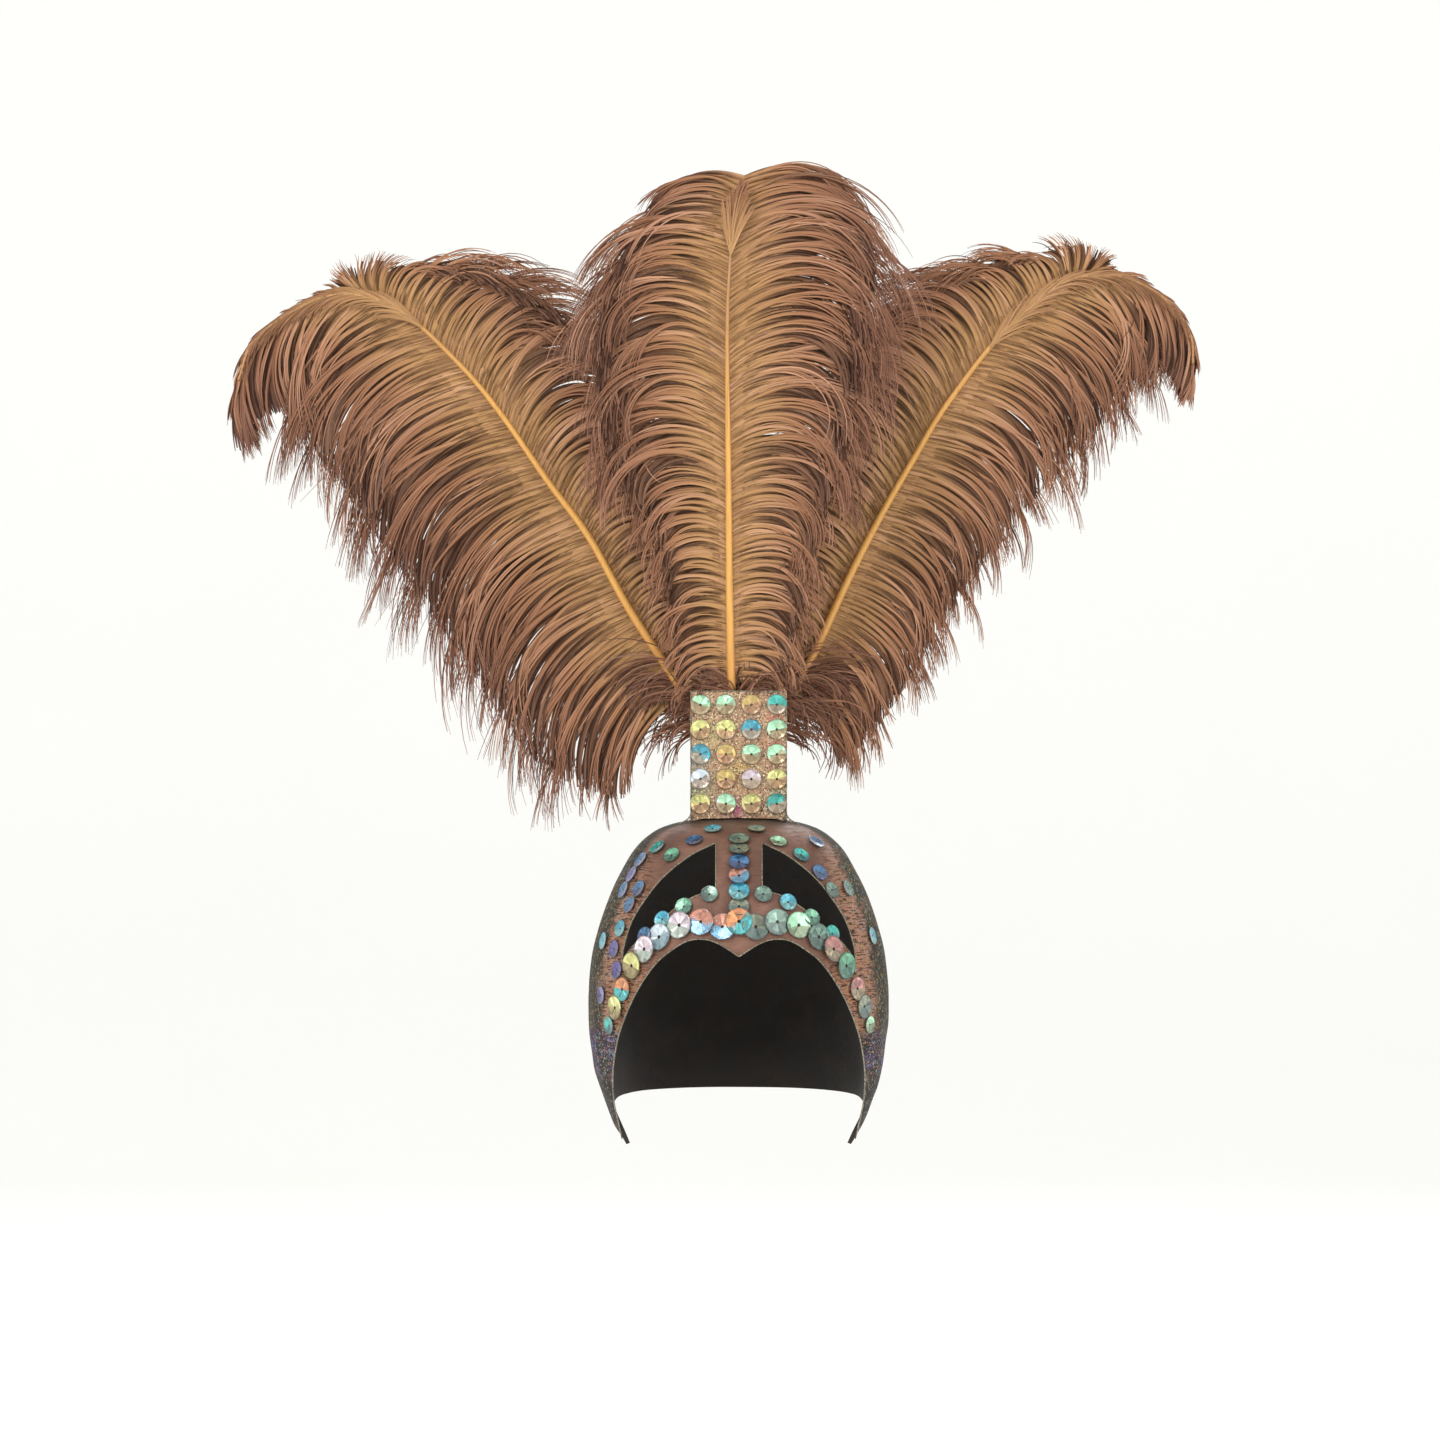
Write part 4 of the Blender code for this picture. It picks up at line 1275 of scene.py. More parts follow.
@dataclass
class Cap:
    """The cloth cap: a closed dome with two windows, a centre post and a flap by each ear."""

    width: float = 0.168
    front: float = 0.094
    back: float = 0.106
    height: float = 0.181
    wall: float = 0.002
    squareness: float = 2.3
    post_width: float = 0.0254
    post_top: float = 0.071
    post_foot: float = 0.213
    flap_tip_ahead: float = 0.030
    margin: float = 0.030
    turns: int = 168
    rings: int = 72
    widest: float = 0.9995
    frame_step: float = 0.0015
    wire_radius: float = 0.00038
    wire_sides: int = 6
    sections: Array = field(init=False)

    def __post_init__(self) -> None:
        """Read the sections finely."""
        self.sections = smooth_rows(CAP_SECTIONS, 24)

    def level(self, drop: float) -> float:
        """Height at a drop share."""
        return self.wall - drop * self.height

    def front_point(self, across: float, drop: float) -> Vector:
        """Find a point of the outside in front.

        Args:
            across: Distance from the middle.
            drop: Drop share.

        Returns:
            The point.
        """
        drops = self.sections[:, 0]
        half = self.width / 2 * float(np.interp(drop, drops, self.sections[:, 1]))
        front = self.front * float(np.interp(drop, drops, self.sections[:, 2]))
        share = min(abs(across) / half, self.widest)
        depth = front * (1 - share**self.squareness) ** (1 / self.squareness)
        return Vector((across, -depth, self.level(drop)))

    def front_frame(self, across: float, drop: float) -> tuple[Vector, Vector, Vector]:
        """Find how the outside lies at a point in front.

        Args:
            across: Distance from the middle.
            drop: Drop share.

        Returns:
            The point, the outward normal and the downward direction.
        """
        step = self.frame_step
        share = step / self.height
        side = self.front_point(across + step, drop) - self.front_point(across - step, drop)
        down = self.front_point(across, drop + share) - self.front_point(across, drop - share)
        normal = down.cross(side).normalized()
        if normal.y > 0:
            normal.negate()
        return self.front_point(across, drop), normal, down.normalized()

    def outside(self, turn: float, row: float) -> Vector:
        """Find a point anywhere on the outside.

        Args:
            turn: Turn about the middle, in radians.
            row: Place in the rows of sections, from 0 to 1.

        Returns:
            The point.
        """
        at = min(max(row, 0.0), 1.0) * (len(self.sections) - 1)
        low = min(int(at), len(self.sections) - 2)
        step = self.sections[low + 1] - self.sections[low]
        drop, wide, ahead, behind = self.sections[low] + step * (at - low)
        power = 2 / self.squareness
        across = math.copysign(abs(math.sin(turn)) ** power, math.sin(turn))
        along = math.copysign(abs(math.cos(turn)) ** power, math.cos(turn))
        depth = self.front * ahead if along > 0 else self.back * behind
        return Vector((self.width / 2 * wide * across, -depth * along, self.level(drop)))

    def skin(self) -> Shape:
        """Shape the outside from a halved ball, puckered a little at the sides and back.

        Returns:
            The shape.
        """
        shape = bmesh.new()
        bmesh.ops.create_uvsphere(
            shape, u_segments=self.turns, v_segments=2 * self.rings, radius=1.0
        )
        bmesh.ops.bisect_plane(
            shape,
            geom=shape.verts[:] + shape.edges[:] + shape.faces[:],
            plane_co=(0, 0, 0),
            plane_no=(0, 0, -1),
            clear_outer=True,
            dist=0.0001,
        )
        for vert in shape.verts:
            row = math.acos(min(max(vert.co.z, 0.0), 1.0)) / (math.pi / 2)
            place = self.outside(math.atan2(vert.co.x, -vert.co.y), row)
            side = float(ease(np.array(abs(place.x)), 0.045, 0.070)) if place.y < 0 else 1.0
            wave = noise.noise(place * 62.0) * 0.0006 + noise.noise(place * 21.0) * 0.0005
            vert.co = place * (1 - wave * side * min(1.0, row * 3) / 0.09)
        return shape

    def scaled(self, rows: Sequence[Sequence[float]]) -> list[Span]:
        """Read an edge finely, as distance across and drop share."""
        return [(float(a) * self.width / 2, float(drop)) for a, drop in smooth_rows(rows, 8)]

    def window_lines(self) -> tuple[list[Span], list[Span]]:
        """Arch and brow edges of the right window, each from the post or to it."""
        post = self.post_width / self.width
        arch = self.scaled(((post, self.post_top), *WINDOW_ARCH))
        return arch, self.scaled((WINDOW_ARCH[-1], *WINDOW_BROW, (post, self.post_foot)))

    def prism(self, name: str, outline: Sequence[Span], sideways: bool, span: Span) -> Piece:
        """Raise a closed prism from a flat outline.

        Args:
            name: Name of the prism.
            outline: Corners as distance and height.
            sideways: Whether the outline is seen from the side, not from the front.
            span: Where the prism starts and ends.

        Returns:
            The hidden cutter.
        """
        shape = bmesh.new()
        start, length = span[0], span[1] - span[0]
        corners = [(start, at, up) if sideways else (at, start, up) for at, up in outline]
        face = shape.faces.new([shape.verts.new(corner) for corner in corners])
        made = bmesh.ops.extrude_face_region(shape, geom=[face])["geom"]
        shift = (length, 0, 0) if sideways else (0, length, 0)
        verts = [item for item in made if isinstance(item, bmesh.types.BMVert)]
        bmesh.ops.translate(shape, vec=shift, verts=verts)
        return link(name, mesh_from_shape(name, shape))

    def cutters(self) -> list[Piece]:
        """Make the cutters of the face opening, both windows and the hem.

        Returns:
            The cutters.
        """
        below = self.level(1.0) - self.margin
        through = (-self.front - self.margin, -self.flap_tip_ahead)
        edge = [(across, self.level(drop)) for across, drop in self.scaled(FACE_EDGE)]
        edge.append((edge[-1][0], below))
        face = edge + [(-across, height) for across, height in reversed(edge[1:])]
        made = [self.prism("face_cutter", face, False, through)]
        arch, brow = self.window_lines()
        for name, side in zip(("left_window_cutter", "right_window_cutter"), SIDES):
            outline = [(side * across, self.level(drop)) for across, drop in arch + brow[1:]]
            made.append(self.prism(name, outline, False, through))
        hem = [(-self.flap_tip_ahead, self.level(1.0))]
        for share, drop in smooth_rows(HEM_EDGE, 6):
            hem.append((float(share) * self.back, self.level(float(drop))))
        far = self.back + self.margin
        hem += [(far, hem[-1][1]), (far, below), (-self.flap_tip_ahead, below)]
        half = self.width / 2 + self.margin
        return [*made, self.prism("hem_cutter", hem, True, (-half, half))]

    def mark_zones(self, mesh: Mesh) -> None:
        """Write where the satin, the lace and the flecks are, and the painted shade towards the
        sides, the back and the top of the crown.

        Args:
            mesh: Mesh of the shell.
        """
        count = len(mesh.vertices)
        place = np.zeros(count * 3, np.float32)
        mesh.vertices.foreach_get("co", place)
        x, y, z = place.reshape(-1, 3).T
        drop = np.clip((self.wall - z) / self.height, 0, 1)
        half = self.width / 2 * np.interp(drop, self.sections[:, 0], self.sections[:, 1])
        share = np.abs(x) / np.maximum(half, 0.01)
        ahead = ease(-y, -0.005, 0.02)
        satin = (1 - ease(np.abs(x), 0.040, 0.062)) * ahead * (1 - ease(drop, 0.42, 0.6))
        lace = ease(-z, 0.112, 0.119) * (1 - ease(-z, 0.137, 0.145)) * (0.2 + 0.8 * ahead)
        flecked = ease(-z, 0.137, 0.146)
        # Painted shade: darker near the edges of the width, towards the back and at the top of the
        # crown.
        edge_dim, back_dim = ease(share, 0.82, 0.96), 1 - ease(-y, -0.020, 0.050)
        crown_dim = 1 - ease(drop, 0.0, 0.045)
        flank_shade = np.maximum(0.66 * edge_dim, 0.56 * back_dim) + 0.4 * crown_dim
        write_mark(mesh, "zones", np.stack([satin, lace, flecked, np.ones(count)], axis=1))
        write_mark(mesh, "flank_shade", flank_shade)

    def build_shell(self, cloth: Finish, lining: Finish) -> Piece:
        """Build the lined shell and cut its openings.

        Args:
            cloth: Material of the outside.
            lining: Material of the inside and of the cut edges.

        Returns:
            The piece.
        """
        draft = piece_from_shape("cap_draft", self.skin())
        wall = draft.modifiers.new("wall", "SOLIDIFY")
        wall.thickness = self.wall
        wall.offset = -1
        wall.material_offset = 1
        wall.material_offset_rim = 1
        cutters = self.cutters()
        for part in (draft, *cutters):
            part.data.materials.append(cloth)
            part.data.materials.append(lining)
        for cutter in cutters:
            faces = cutter.data.polygons
            faces.foreach_set("material_index", np.ones(len(faces), np.int32))
            cut = draft.modifiers.new(cutter.name, "BOOLEAN")
            cut.operation = "DIFFERENCE"
            cut.solver = "EXACT"
            cut.object = cutter
        graph = bpy.context.evaluated_depsgraph_get()
        mesh = bpy.data.meshes.new_from_object(draft.evaluated_get(graph))
        for spare in (draft, *cutters):
            bpy.data.objects.remove(spare, do_unlink=True)
        mesh.name = "satin_cap"
        self.mark_zones(smooth(mesh, CAP_SHARP_DEGREES))
        return settle(link("satin_cap", mesh), None, "cap_satin", "cap_shell")

    def laid_line(self, line: Sequence[Span], side: int) -> Array:
        """Lay a line of the front view on the cap's outside.

        Args:
            line: Distances across and drop shares.
            side: -1 for the left and 1 for the right.

        Returns:
            The points, one row each.
        """
        places = []
        for across, drop in line:
            point, normal, _ = self.front_frame(side * across, min(drop, 0.985))
            point.z = self.level(drop)
            places.append(point + normal * self.wire_radius * 0.4)
        return np.array(places)

    def build_wires(self, finish: Finish) -> Piece:
        """Sew the pale wire along the face edge and around both windows.

        Args:
            finish: Material of the wire.

        Returns:
            The piece.
        """
        shape = bmesh.new()
        arch, brow = self.window_lines()
        rise = self.post_top - self.post_foot
        post = [(arch[0][0], self.post_foot + rise * step / 12) for step in range(13)]
        for side in SIDES:
            for line in (self.scaled(FACE_EDGE)[:-2], arch, brow, post):
                route = self.laid_line(line, side)
                sweep(shape, route, np.full(len(route), self.wire_radius), self.wire_sides)
        return settle(piece_from_shape("edge_wire", shape), finish, "cap_satin")


class Foil(Enum):
    """Colours of the sequins: the tint of the upper half, which carries a painted reflection of the
    light from above, then of the lower half.
    """

    MINT = ((168, 222, 182), (130, 156, 122))
    LEMON = ((222, 220, 140), (158, 144, 96))
    TEAL = ((66, 172, 160), (42, 128, 132))
    CYAN = ((70, 158, 178), (104, 172, 176))
    GOLD = ((200, 172, 104), (150, 116, 78))
    ICE = ((206, 218, 226), (150, 184, 192))
    SHELL = ((218, 202, 210), (188, 202, 190))
    ROSE = ((178, 126, 120), (158, 146, 120))
    BLUE = ((66, 110, 150), (48, 82, 126))
    VIOLET = ((98, 88, 148), (62, 70, 128))
    SEA = ((108, 136, 122), (84, 118, 110))
    LEAF = ((104, 164, 132), (72, 128, 112))
    SUNSET_TEAL = ((204, 138, 94), (76, 188, 190))
    SUNSET_BLUE = ((184, 126, 106), (94, 158, 190))
    GREY_SEA = ((126, 132, 112), (94, 124, 118))


@dataclass
class Sequin:
    """One sequin and where it sits."""

    centre: Vector
    normal: Vector
    down: Vector
    diameter: float
    cup: float
    foil: Foil


@dataclass
class SequinSewing:
    """Sews cupped, faceted sequins on as joined pieces; their upper halves carry a painted
    reflection and the cloth tints their lower halves.
    """

    backing: Colour
    clearness: float
    tilt: float
    hole: Colour = paint(40, 34, 30)
    rim_shade: float = 0.42
    sides: int = 16
    # For each ring from the rim inward: how far it shrinks, and how far it drops.
    rings: tuple[Span, ...] = ((0.93, 0.04), (0.774, 0.34), (0.20, 0.54), (0.5, 0.08))
    thickness: float = 0.0003
    seed: int = 41

    def pattern(self) -> tuple[Array, Array]:
        """Shape one sequin of radius 1 and cup 1 from nested rings.

        Returns:
            Its points and the four corners of each face.
        """
        shape = bmesh.new()
        ring = bmesh.ops.create_circle(shape, cap_ends=False, segments=self.sides, radius=1.0)[
            "verts"
        ]
        edges = list({edge for vert in ring for edge in vert.link_edges})
        bmesh.ops.translate(shape, vec=(0, 0, 1.0), verts=ring)
        for scale, drop in self.rings:
            ring, edges = extrude_ring(shape, edges)
            bmesh.ops.scale(shape, vec=(scale, scale, 1), verts=ring)
            bmesh.ops.translate(shape, vec=(0, 0, -drop), verts=ring)
        bmesh.ops.recalc_face_normals(shape, faces=shape.faces)
        points = np.array([vert.co[:] for vert in shape.verts])
        quads = np.array([[vert.index for vert in face.verts] for face in shape.faces])
        if sum(face.normal.z for face in shape.faces) < 0:
            quads = quads[:, ::-1]
        shape.free()
        # In order of distance and turn, so that a facet gets the same colour in every run.
        middles = points[quads].mean(axis=1)
        away = np.round(np.hypot(middles[:, 0], middles[:, 1]), 5)
        turn = np.round(np.arctan2(middles[:, 1], middles[:, 0]), 5)
        return points, quads[np.lexsort((turn, away))]

    def place(self, sequin: Sequin, points: Array, rng: Chance) -> tuple[Array, Array]:
        """Turn, tilt, size and place the pattern for one sequin.

        Args:
            sequin: Where it sits.
            points: Points of the pattern.
            rng: Seeded source of chance.

        Returns:
            Its points in the scene, and before they were placed.
        """
        across = sequin.down.cross(sequin.normal).normalized()
        normal = Matrix.Rotation(rng.normal(0, self.tilt), 3, across) @ sequin.normal
        across = Matrix.Rotation(rng.normal(0, self.tilt), 3, sequin.down) @ across
        across = (across - normal * across.dot(normal)).normalized()
        down = normal.cross(across).normalized()
        spin = rng.uniform(0, math.pi)
        cosine, sine = math.cos(spin), math.sin(spin)
        local = points @ np.array([[cosine, sine, 0], [-sine, cosine, 0], [0, 0, 1]])
        outer = np.hypot(local[:, 0], local[:, 1]) > 0.96
        ripple = 1 - 0.22 * (np.arange(len(points)) % 2) * outer
        local = local * np.array([sequin.diameter / 2, sequin.diameter / 2, 1.0])
        local[:, 2] *= sequin.cup * ripple
        frame = np.array([across[:], (-down)[:], normal[:]])
        return local @ frame + np.array(sequin.centre), local

    def colours(self, sequin: Sequin, middle: Array, rng: Chance) -> Array:
        """Colour the facets of one sequin.

        Args:
            sequin: The sequin.
            middle: Middle of each facet, on a sequin of radius 1.
            rng: Seeded source of chance.

        Returns:
            One colour for each facet.
        """
        high, low = (np.array(paint(*tint)) for tint in sequin.foil.value)
        low = low + (np.array(self.backing) - low) * self.clearness
        slope = rng.normal(0, 0.35)
        height = middle[:, 1] * math.cos(slope) + middle[:, 0] * math.sin(slope)
        # Painted reflection: the upper half takes the brighter tint as if lit from above, and each
        # facet gets a painted glint, lighter or darker at random; the lower half shows the cloth
        # through the clear foil.
        split = ease(height + rng.normal(0, 0.10, len(middle)), -0.10, 0.14)[:, None]
        glint = np.exp(rng.normal(0.0, 0.26, len(middle)))[:, None]
        colour = np.clip((low + (high - low) * split) * glint, 0, 1)
        reach = np.hypot(middle[:, 0], middle[:, 1])
        colour[reach > 0.90] *= self.rim_shade
        colour[reach < 0.12] = self.hole
        colour[:, 3] = 1.0
        return colour

    def sew(
        self, name: str, sequins: Sequence[Sequin], finish: Finish, slot: str, *nodes: str
    ) -> Piece:
        """Join sequins as one piece.

        Args:
            name: Name of the piece.
            sequins: Where each one sits.
            finish: Material of the foil.
            slot: Material slot of the record.
            nodes: Solids that the piece stands for.

        Returns:
            The piece.
        """
        rng = np.random.default_rng(self.seed + len(sequins))
        points, quads = self.pattern()
        top, faces, colours = [], [], []
        for index, sequin in enumerate(sequins):
            placed, local = self.place(sequin, points, rng)
            top.append(placed)
            faces.append(quads + index * len(points))
            middle = local[quads].mean(axis=1) / (sequin.diameter / 2)
            colours.append(np.repeat(self.colours(sequin, middle, rng), 4, axis=0))
        mesh = mesh_from_arrays(name, np.vstack(top), np.vstack(faces))
        write_mark(mesh, "foil", np.vstack(colours), "CORNER")
        mesh.shade_flat()
        piece = link(name, mesh)
        wall = piece.modifiers.new("thickness", "SOLIDIFY")
        wall.thickness = self.thickness
        wall.offset = -1
        return settle(piece, finish, slot, *nodes)


def solid_sequin(node: Piece, cup: float, foil: Foil) -> Sequin:
    """Read where a sequin's solid sits.

    Args:
        node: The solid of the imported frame.
        cup: Depth of the dressed sequin.
        foil: Its colours.

    Returns:
        The dressed sequin in the same place.
    """
    places = np.array([vert.co[:] for vert in node.data.vertices])
    middle = (places.max(axis=0) + places.min(axis=0)) / 2
    _, _, axes = np.linalg.svd(places - places.mean(axis=0), full_matrices=False)
    normal = Vector(axes[2])
    if normal.y > 0:
        normal.negate()
    drop = Vector((0, 0, -1))
    down = (drop - normal * drop.dot(normal)).normalized()
    flat = places - middle
    reach = np.linalg.norm(flat - np.outer(flat @ axes[2], axes[2]), axis=1).max() * 2
    low = (flat @ np.array(normal[:])).min()
    centre = Vector(middle) + normal * float(low + SEAT_GAP)
    return Sequin(centre, normal, down, float(reach), cup, foil)


@dataclass
class Holder:
    """The upright glitter-cloth panel on the crown, with its sequins and stitches."""

    width: float = 0.054
    height: float = 0.071
    thickness: float = 0.0025
    ahead: float = 0.016
    foot: float = 0.0023
    columns: int = 4
    rows: int = 5
    cup: float = 0.0012
    edge_round: float = 0.0006
    crumple: float = 0.0005
    piping: float = 0.0004
    piping_foot: float = 0.0012
    thread: float = 0.00032
    stitch_height: float = 0.0045
    # How far each stitch reaches outward and falls.
    stitches: tuple[Span, ...] = ((0.0052, 0.0088), (0.0074, 0.0062), (0.0030, 0.0046))
    cloth: Colour = paint(188, 150, 116)
    foils: tuple[tuple[Foil, ...], ...] = (
        (Foil.MINT, Foil.MINT, Foil.GOLD, Foil.TEAL),
        (Foil.LEMON, Foil.LEMON, Foil.CYAN, Foil.MINT),
        (Foil.CYAN, Foil.GOLD, Foil.MINT, Foil.MINT),
        (Foil.ICE, Foil.GOLD, Foil.SHELL, Foil.LEMON),
        (Foil.LEMON, Foil.MINT, Foil.LEMON, Foil.TEAL),
    )
    # Painted coloured reflections of the sequins on the cloth: across and height in millimetres,
    # reach in millimetres, tint.
    tints: tuple[tuple[float, float, float, tuple[int, int, int]], ...] = (
        (-2.0, 7.0, 5.0, (206, 70, 150)),
        (21.0, 40.0, 5.0, (220, 96, 96)),
        (20.0, 58.0, 4.0, (210, 110, 96)),
        (-23.0, 20.0, 8.0, (150, 190, 150)),
        (-23.0, 36.0, 6.0, (120, 190, 190)),
        (23.0, 12.0, 6.0, (140, 190, 160)),
        (-16.0, 48.0, 7.0, (206, 196, 130)),
        (0.0, 30.0, 9.0, (200, 168, 96)),
    )

    @property
    def top(self) -> float:
        """Height of the panel's upper edge."""
        return self.foot + self.height

    def build_panel(self, cap: Cap, finish: Finish) -> Piece:
        """Build the panel, crumpled a little and seated on the crown.

        Args:
            cap: Cap that carries it.
            finish: Material of the cloth.

        Returns:
            The piece.
        """
        shape = bmesh.new()
        bmesh.ops.create_cube(shape, size=1.0)
        tall = self.height + 0.002
        bmesh.ops.scale(shape, vec=(self.width, self.thickness, tall), verts=shape.verts)
        middle = (0, -self.ahead + self.thickness / 2, self.top - tall / 2)
        bmesh.ops.translate(shape, vec=middle, verts=shape.verts)
        bmesh.ops.bevel(
            shape,
            geom=shape.edges[:],
            offset=self.edge_round,
            segments=2,
            profile=0.5,
            affect="EDGES",
            material=-1,
        )
        long = [edge for edge in shape.edges if edge.calc_length() > 0.02]
        bmesh.ops.subdivide_edges(shape, edges=long, cuts=40, use_grid_fill=True)
        half = self.width / 2
        for vert in shape.verts:
            place = vert.co.copy()
            inner = min(half - abs(place.x), self.top - place.z)
            wave = noise.noise(place * 110.0) + 0.6 * noise.noise(place * 240.0)
            vert.co.y += wave * self.crumple * min(1.0, max(inner, 0.0) / 0.006)
            drop = float(np.interp(abs(place.x), (0.0, 0.020, half), (0.0, 0.0004, 0.0019)))
            vert.co.z = max(vert.co.z, cap.wall - drop + SEAT_GAP)
        piece = piece_from_shape("glitter_panel", shape)
        self.mark_foil_reflections(piece.data)
        return settle(piece, finish, "holder_cloth", "holder_panel")

    def mark_foil_reflections(self, mesh: Mesh) -> None:
        """Write the painted reflections that the foil throws on the cloth.

        Args:
            mesh: Mesh of the panel.
        """
        place = np.array([vert.co[:] for vert in mesh.vertices])
        colour = np.tile(np.array(self.cloth), (len(place), 1))
        for across, height, reach, tint in self.tints:
            away = np.hypot(place[:, 0] / MM - across, place[:, 2] / MM - height)
            share = np.exp(-((away / reach) ** 2))[:, None]
            colour += (np.array(paint(*tint)) - colour) * share
        write_mark(mesh, "tint", colour)

    def build_trim(self, finish: Finish) -> Piece:
        """Build the thin piping around the panel and the stitches at its lower corners.

        Args:
            finish: Material of the thread.

        Returns:
            The piece.
        """
        shape = bmesh.new()
        half = self.width / 2 - self.piping
        face = -self.ahead - self.piping * 0.3
        foot, top = self.piping_foot, self.top - self.piping
        corners = [(-half, foot), (-half, top), (half, top), (half, foot)]
        share = np.linspace(0, 1, 24)
        shake = 0.00018 * np.sin(share * 61)
        for (x0, z0), (x1, z1) in zip(corners, corners[1:]):
            across, up = x0 + (x1 - x0) * share + shake, z0 + (z1 - z0) * share + shake
            route = np.stack([across, np.full(24, face), up], axis=1)
            sweep(shape, route, np.full(24, self.piping), 6)
        share = np.linspace(0, 1, 8)[:, None]
        for side in SIDES:
            for index, (reach, fall) in enumerate(self.stitches):
                inward, height = half - MM * index, self.stitch_height
                start = np.array([side * inward, face - 0.0004, height - MM * index])
                end = np.array([side * (half + reach), face - 0.004, height - fall])
                route = start + (end - start) * share
                route[:, 1] -= 0.0009 * np.sin(share[:, 0] * math.pi)
                sweep(shape, route, np.full(8, self.thread), 5)
        return settle(piece_from_shape("holder_trim", shape), finish, "holder_cloth")

    def sew_sequins(self, sewing: SequinSewing, nodes: Nodes, foil: Finish) -> Piece:
        """Sew the rows of sequins on the panel.

        Args:
            sewing: Maker of sequins.
            nodes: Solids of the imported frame.
            foil: Material of the foil.

        Returns:
            The piece.
        """
        names = [
            f"holder_sequin_r{row + 1}_c{column + 1}"
            for row in range(self.rows)
            for column in range(self.columns)
        ]
        tints = [tint for row in self.foils for tint in row]
        sequins = [solid_sequin(nodes[name], self.cup, tint) for name, tint in zip(names, tints)]
        return sewing.sew("panel_sequins", sequins, foil, "sequin_holder", *names)


@dataclass
class CapSequins:
    """The sequins of the post, the brow, the arches and the flaps."""

    cup: float = 0.0006
    stand: float = 0.0006
    small: float = 0.0098
    large: float = 0.0134
    middle_lift: float = 0.0020
    middle_foil: Foil = Foil.SUNSET_TEAL
    post_foils: tuple[Foil, ...] = (
        Foil.SEA, Foil.GREY_SEA, Foil.BLUE, Foil.SUNSET_BLUE, Foil.CYAN, Foil.GREY_SEA
    )
    left_foils: tuple[Foil, ...] = (
        Foil.SUNSET_BLUE, Foil.SUNSET_BLUE, Foil.SHELL, Foil.ICE, Foil.SHELL, Foil.LEMON
    )
    right_foils: tuple[Foil, ...] = (
        Foil.GREY_SEA, Foil.SEA, Foil.MINT, Foil.SEA, Foil.ROSE, Foil.LEAF
    )
    # Across and height in millimetres, then the colours.
    loose: tuple[tuple[float, float, Foil], ...] = (
        (-16.0, -38.9, Foil.SEA),
        (-30.0, -45.6, Foil.LEAF),
        (-41.7, -52.9, Foil.CYAN),
        (-51.2, -61.8, Foil.BLUE),
        (13.2, -38.9, Foil.SEA),
        (26.6, -43.3, Foil.CYAN),
        (39.5, -51.7, Foil.LEAF),
        (50.7, -60.7, Foil.TEAL),
        (-14.3, -4.2, Foil.CYAN),
        (-24.4, -10.2, Foil.BLUE),
        (-36.7, -18.1, Foil.LEAF),
        (-54.6, -36.6, Foil.BLUE),
        (-59.6, -45.6, Foil.BLUE),
        (-64.7, -58.5, Foil.CYAN),
        (-68.0, -69.7, Foil.VIOLET),
        (-66.4, -80.9, Foil.VIOLET),
        (9.8, -4.2, Foil.SEA),
        (21.6, -10.9, Foil.MINT),
        (33.9, -18.1, Foil.TEAL),
        (44.0, -27.7, Foil.BLUE),
        (50.7, -37.2, Foil.SEA),
        (-44.5, -14.2, Foil.TEAL),
        (-53.5, -21.0, Foil.BLUE),
        (-58.6, -29.0, Foil.VIOLET),
        (-63.0, -37.5, Foil.BLUE),
        (-74.2, -65.7, Foil.CYAN),
        (-75.3, -95.4, Foil.VIOLET),
        (-70.8, -111.6, Foil.TEAL),
        (42.3, -11.4, Foil.BLUE),
        (59.6, -36.6, Foil.SEA),
        (73.1, -62.9, Foil.CYAN),
        (71.4, -111.2, Foil.MINT),
    )
    row_ends: tuple[tuple[float, float, Foil], ...] = (
        (-63.6, -91.4, Foil.SUNSET_TEAL),
        (-67.6, -101.6, Foil.LEMON),
        (64.6, -91.0, Foil.ROSE),
        (68.4, -101.0, Foil.GREY_SEA),
    )

    def sew(self, sewing: SequinSewing, cap: Cap, nodes: Nodes, foil: Finish) -> None:
        """Sew every sequin of the cap.

        Args:
            sewing: Maker of sequins.
            cap: Cap that carries them.
            nodes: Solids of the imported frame.
            foil: Material of the foil.
        """
        post = {f"post_sequin_{at}": tint for at, tint in enumerate(self.post_foils, 1)}
        brow = {"brow_sequin_centre": self.middle_foil}
        for side, foils in (("left", self.left_foils), ("right", self.right_foils)):
            brow |= {f"brow_sequin_{side}_{at}": tint for at, tint in enumerate(foils, 1)}
        for row, tints in (("post", post), ("brow", brow)):
            sequins = [solid_sequin(nodes[name], self.cup, tint) for name, tint in tints.items()]
            if row == "brow":
                # The middle sequin lies over the two beside it.
                sequins[0].centre += sequins[0].normal * self.middle_lift
            sewing.sew(f"{row}_row_sequins", sequins, foil, "sequin_teal", *tints)
        sequins = []
        for places, diameter in ((self.loose, self.small), (self.row_ends, self.large)):
            for across, height, tint in places:
                drop = (cap.wall - height * MM) / cap.height
                point, normal, down = cap.front_frame(across * MM, drop)
                centre = point + normal * self.stand
                sequins.append(Sequin(centre, normal, down, diameter, self.cup, tint))
        sewing.sew("scattered_sequins", sequins, foil, "sequin_teal")


@dataclass
class DownPatch:
    """A patch of loose down: where its roots lie, in millimetres, and how its hairs run."""

    tufts: int
    hairs: int
    across: tuple[float, float]
    behind: tuple[float, float]
    height: tuple[float, float]
    heading: tuple[float, float]
    curl: tuple[float, float]
    length: tuple[float, float]
    # Range of painted light and shade for its hairs.
    light: tuple[float, float]
    weight: float = 0.6


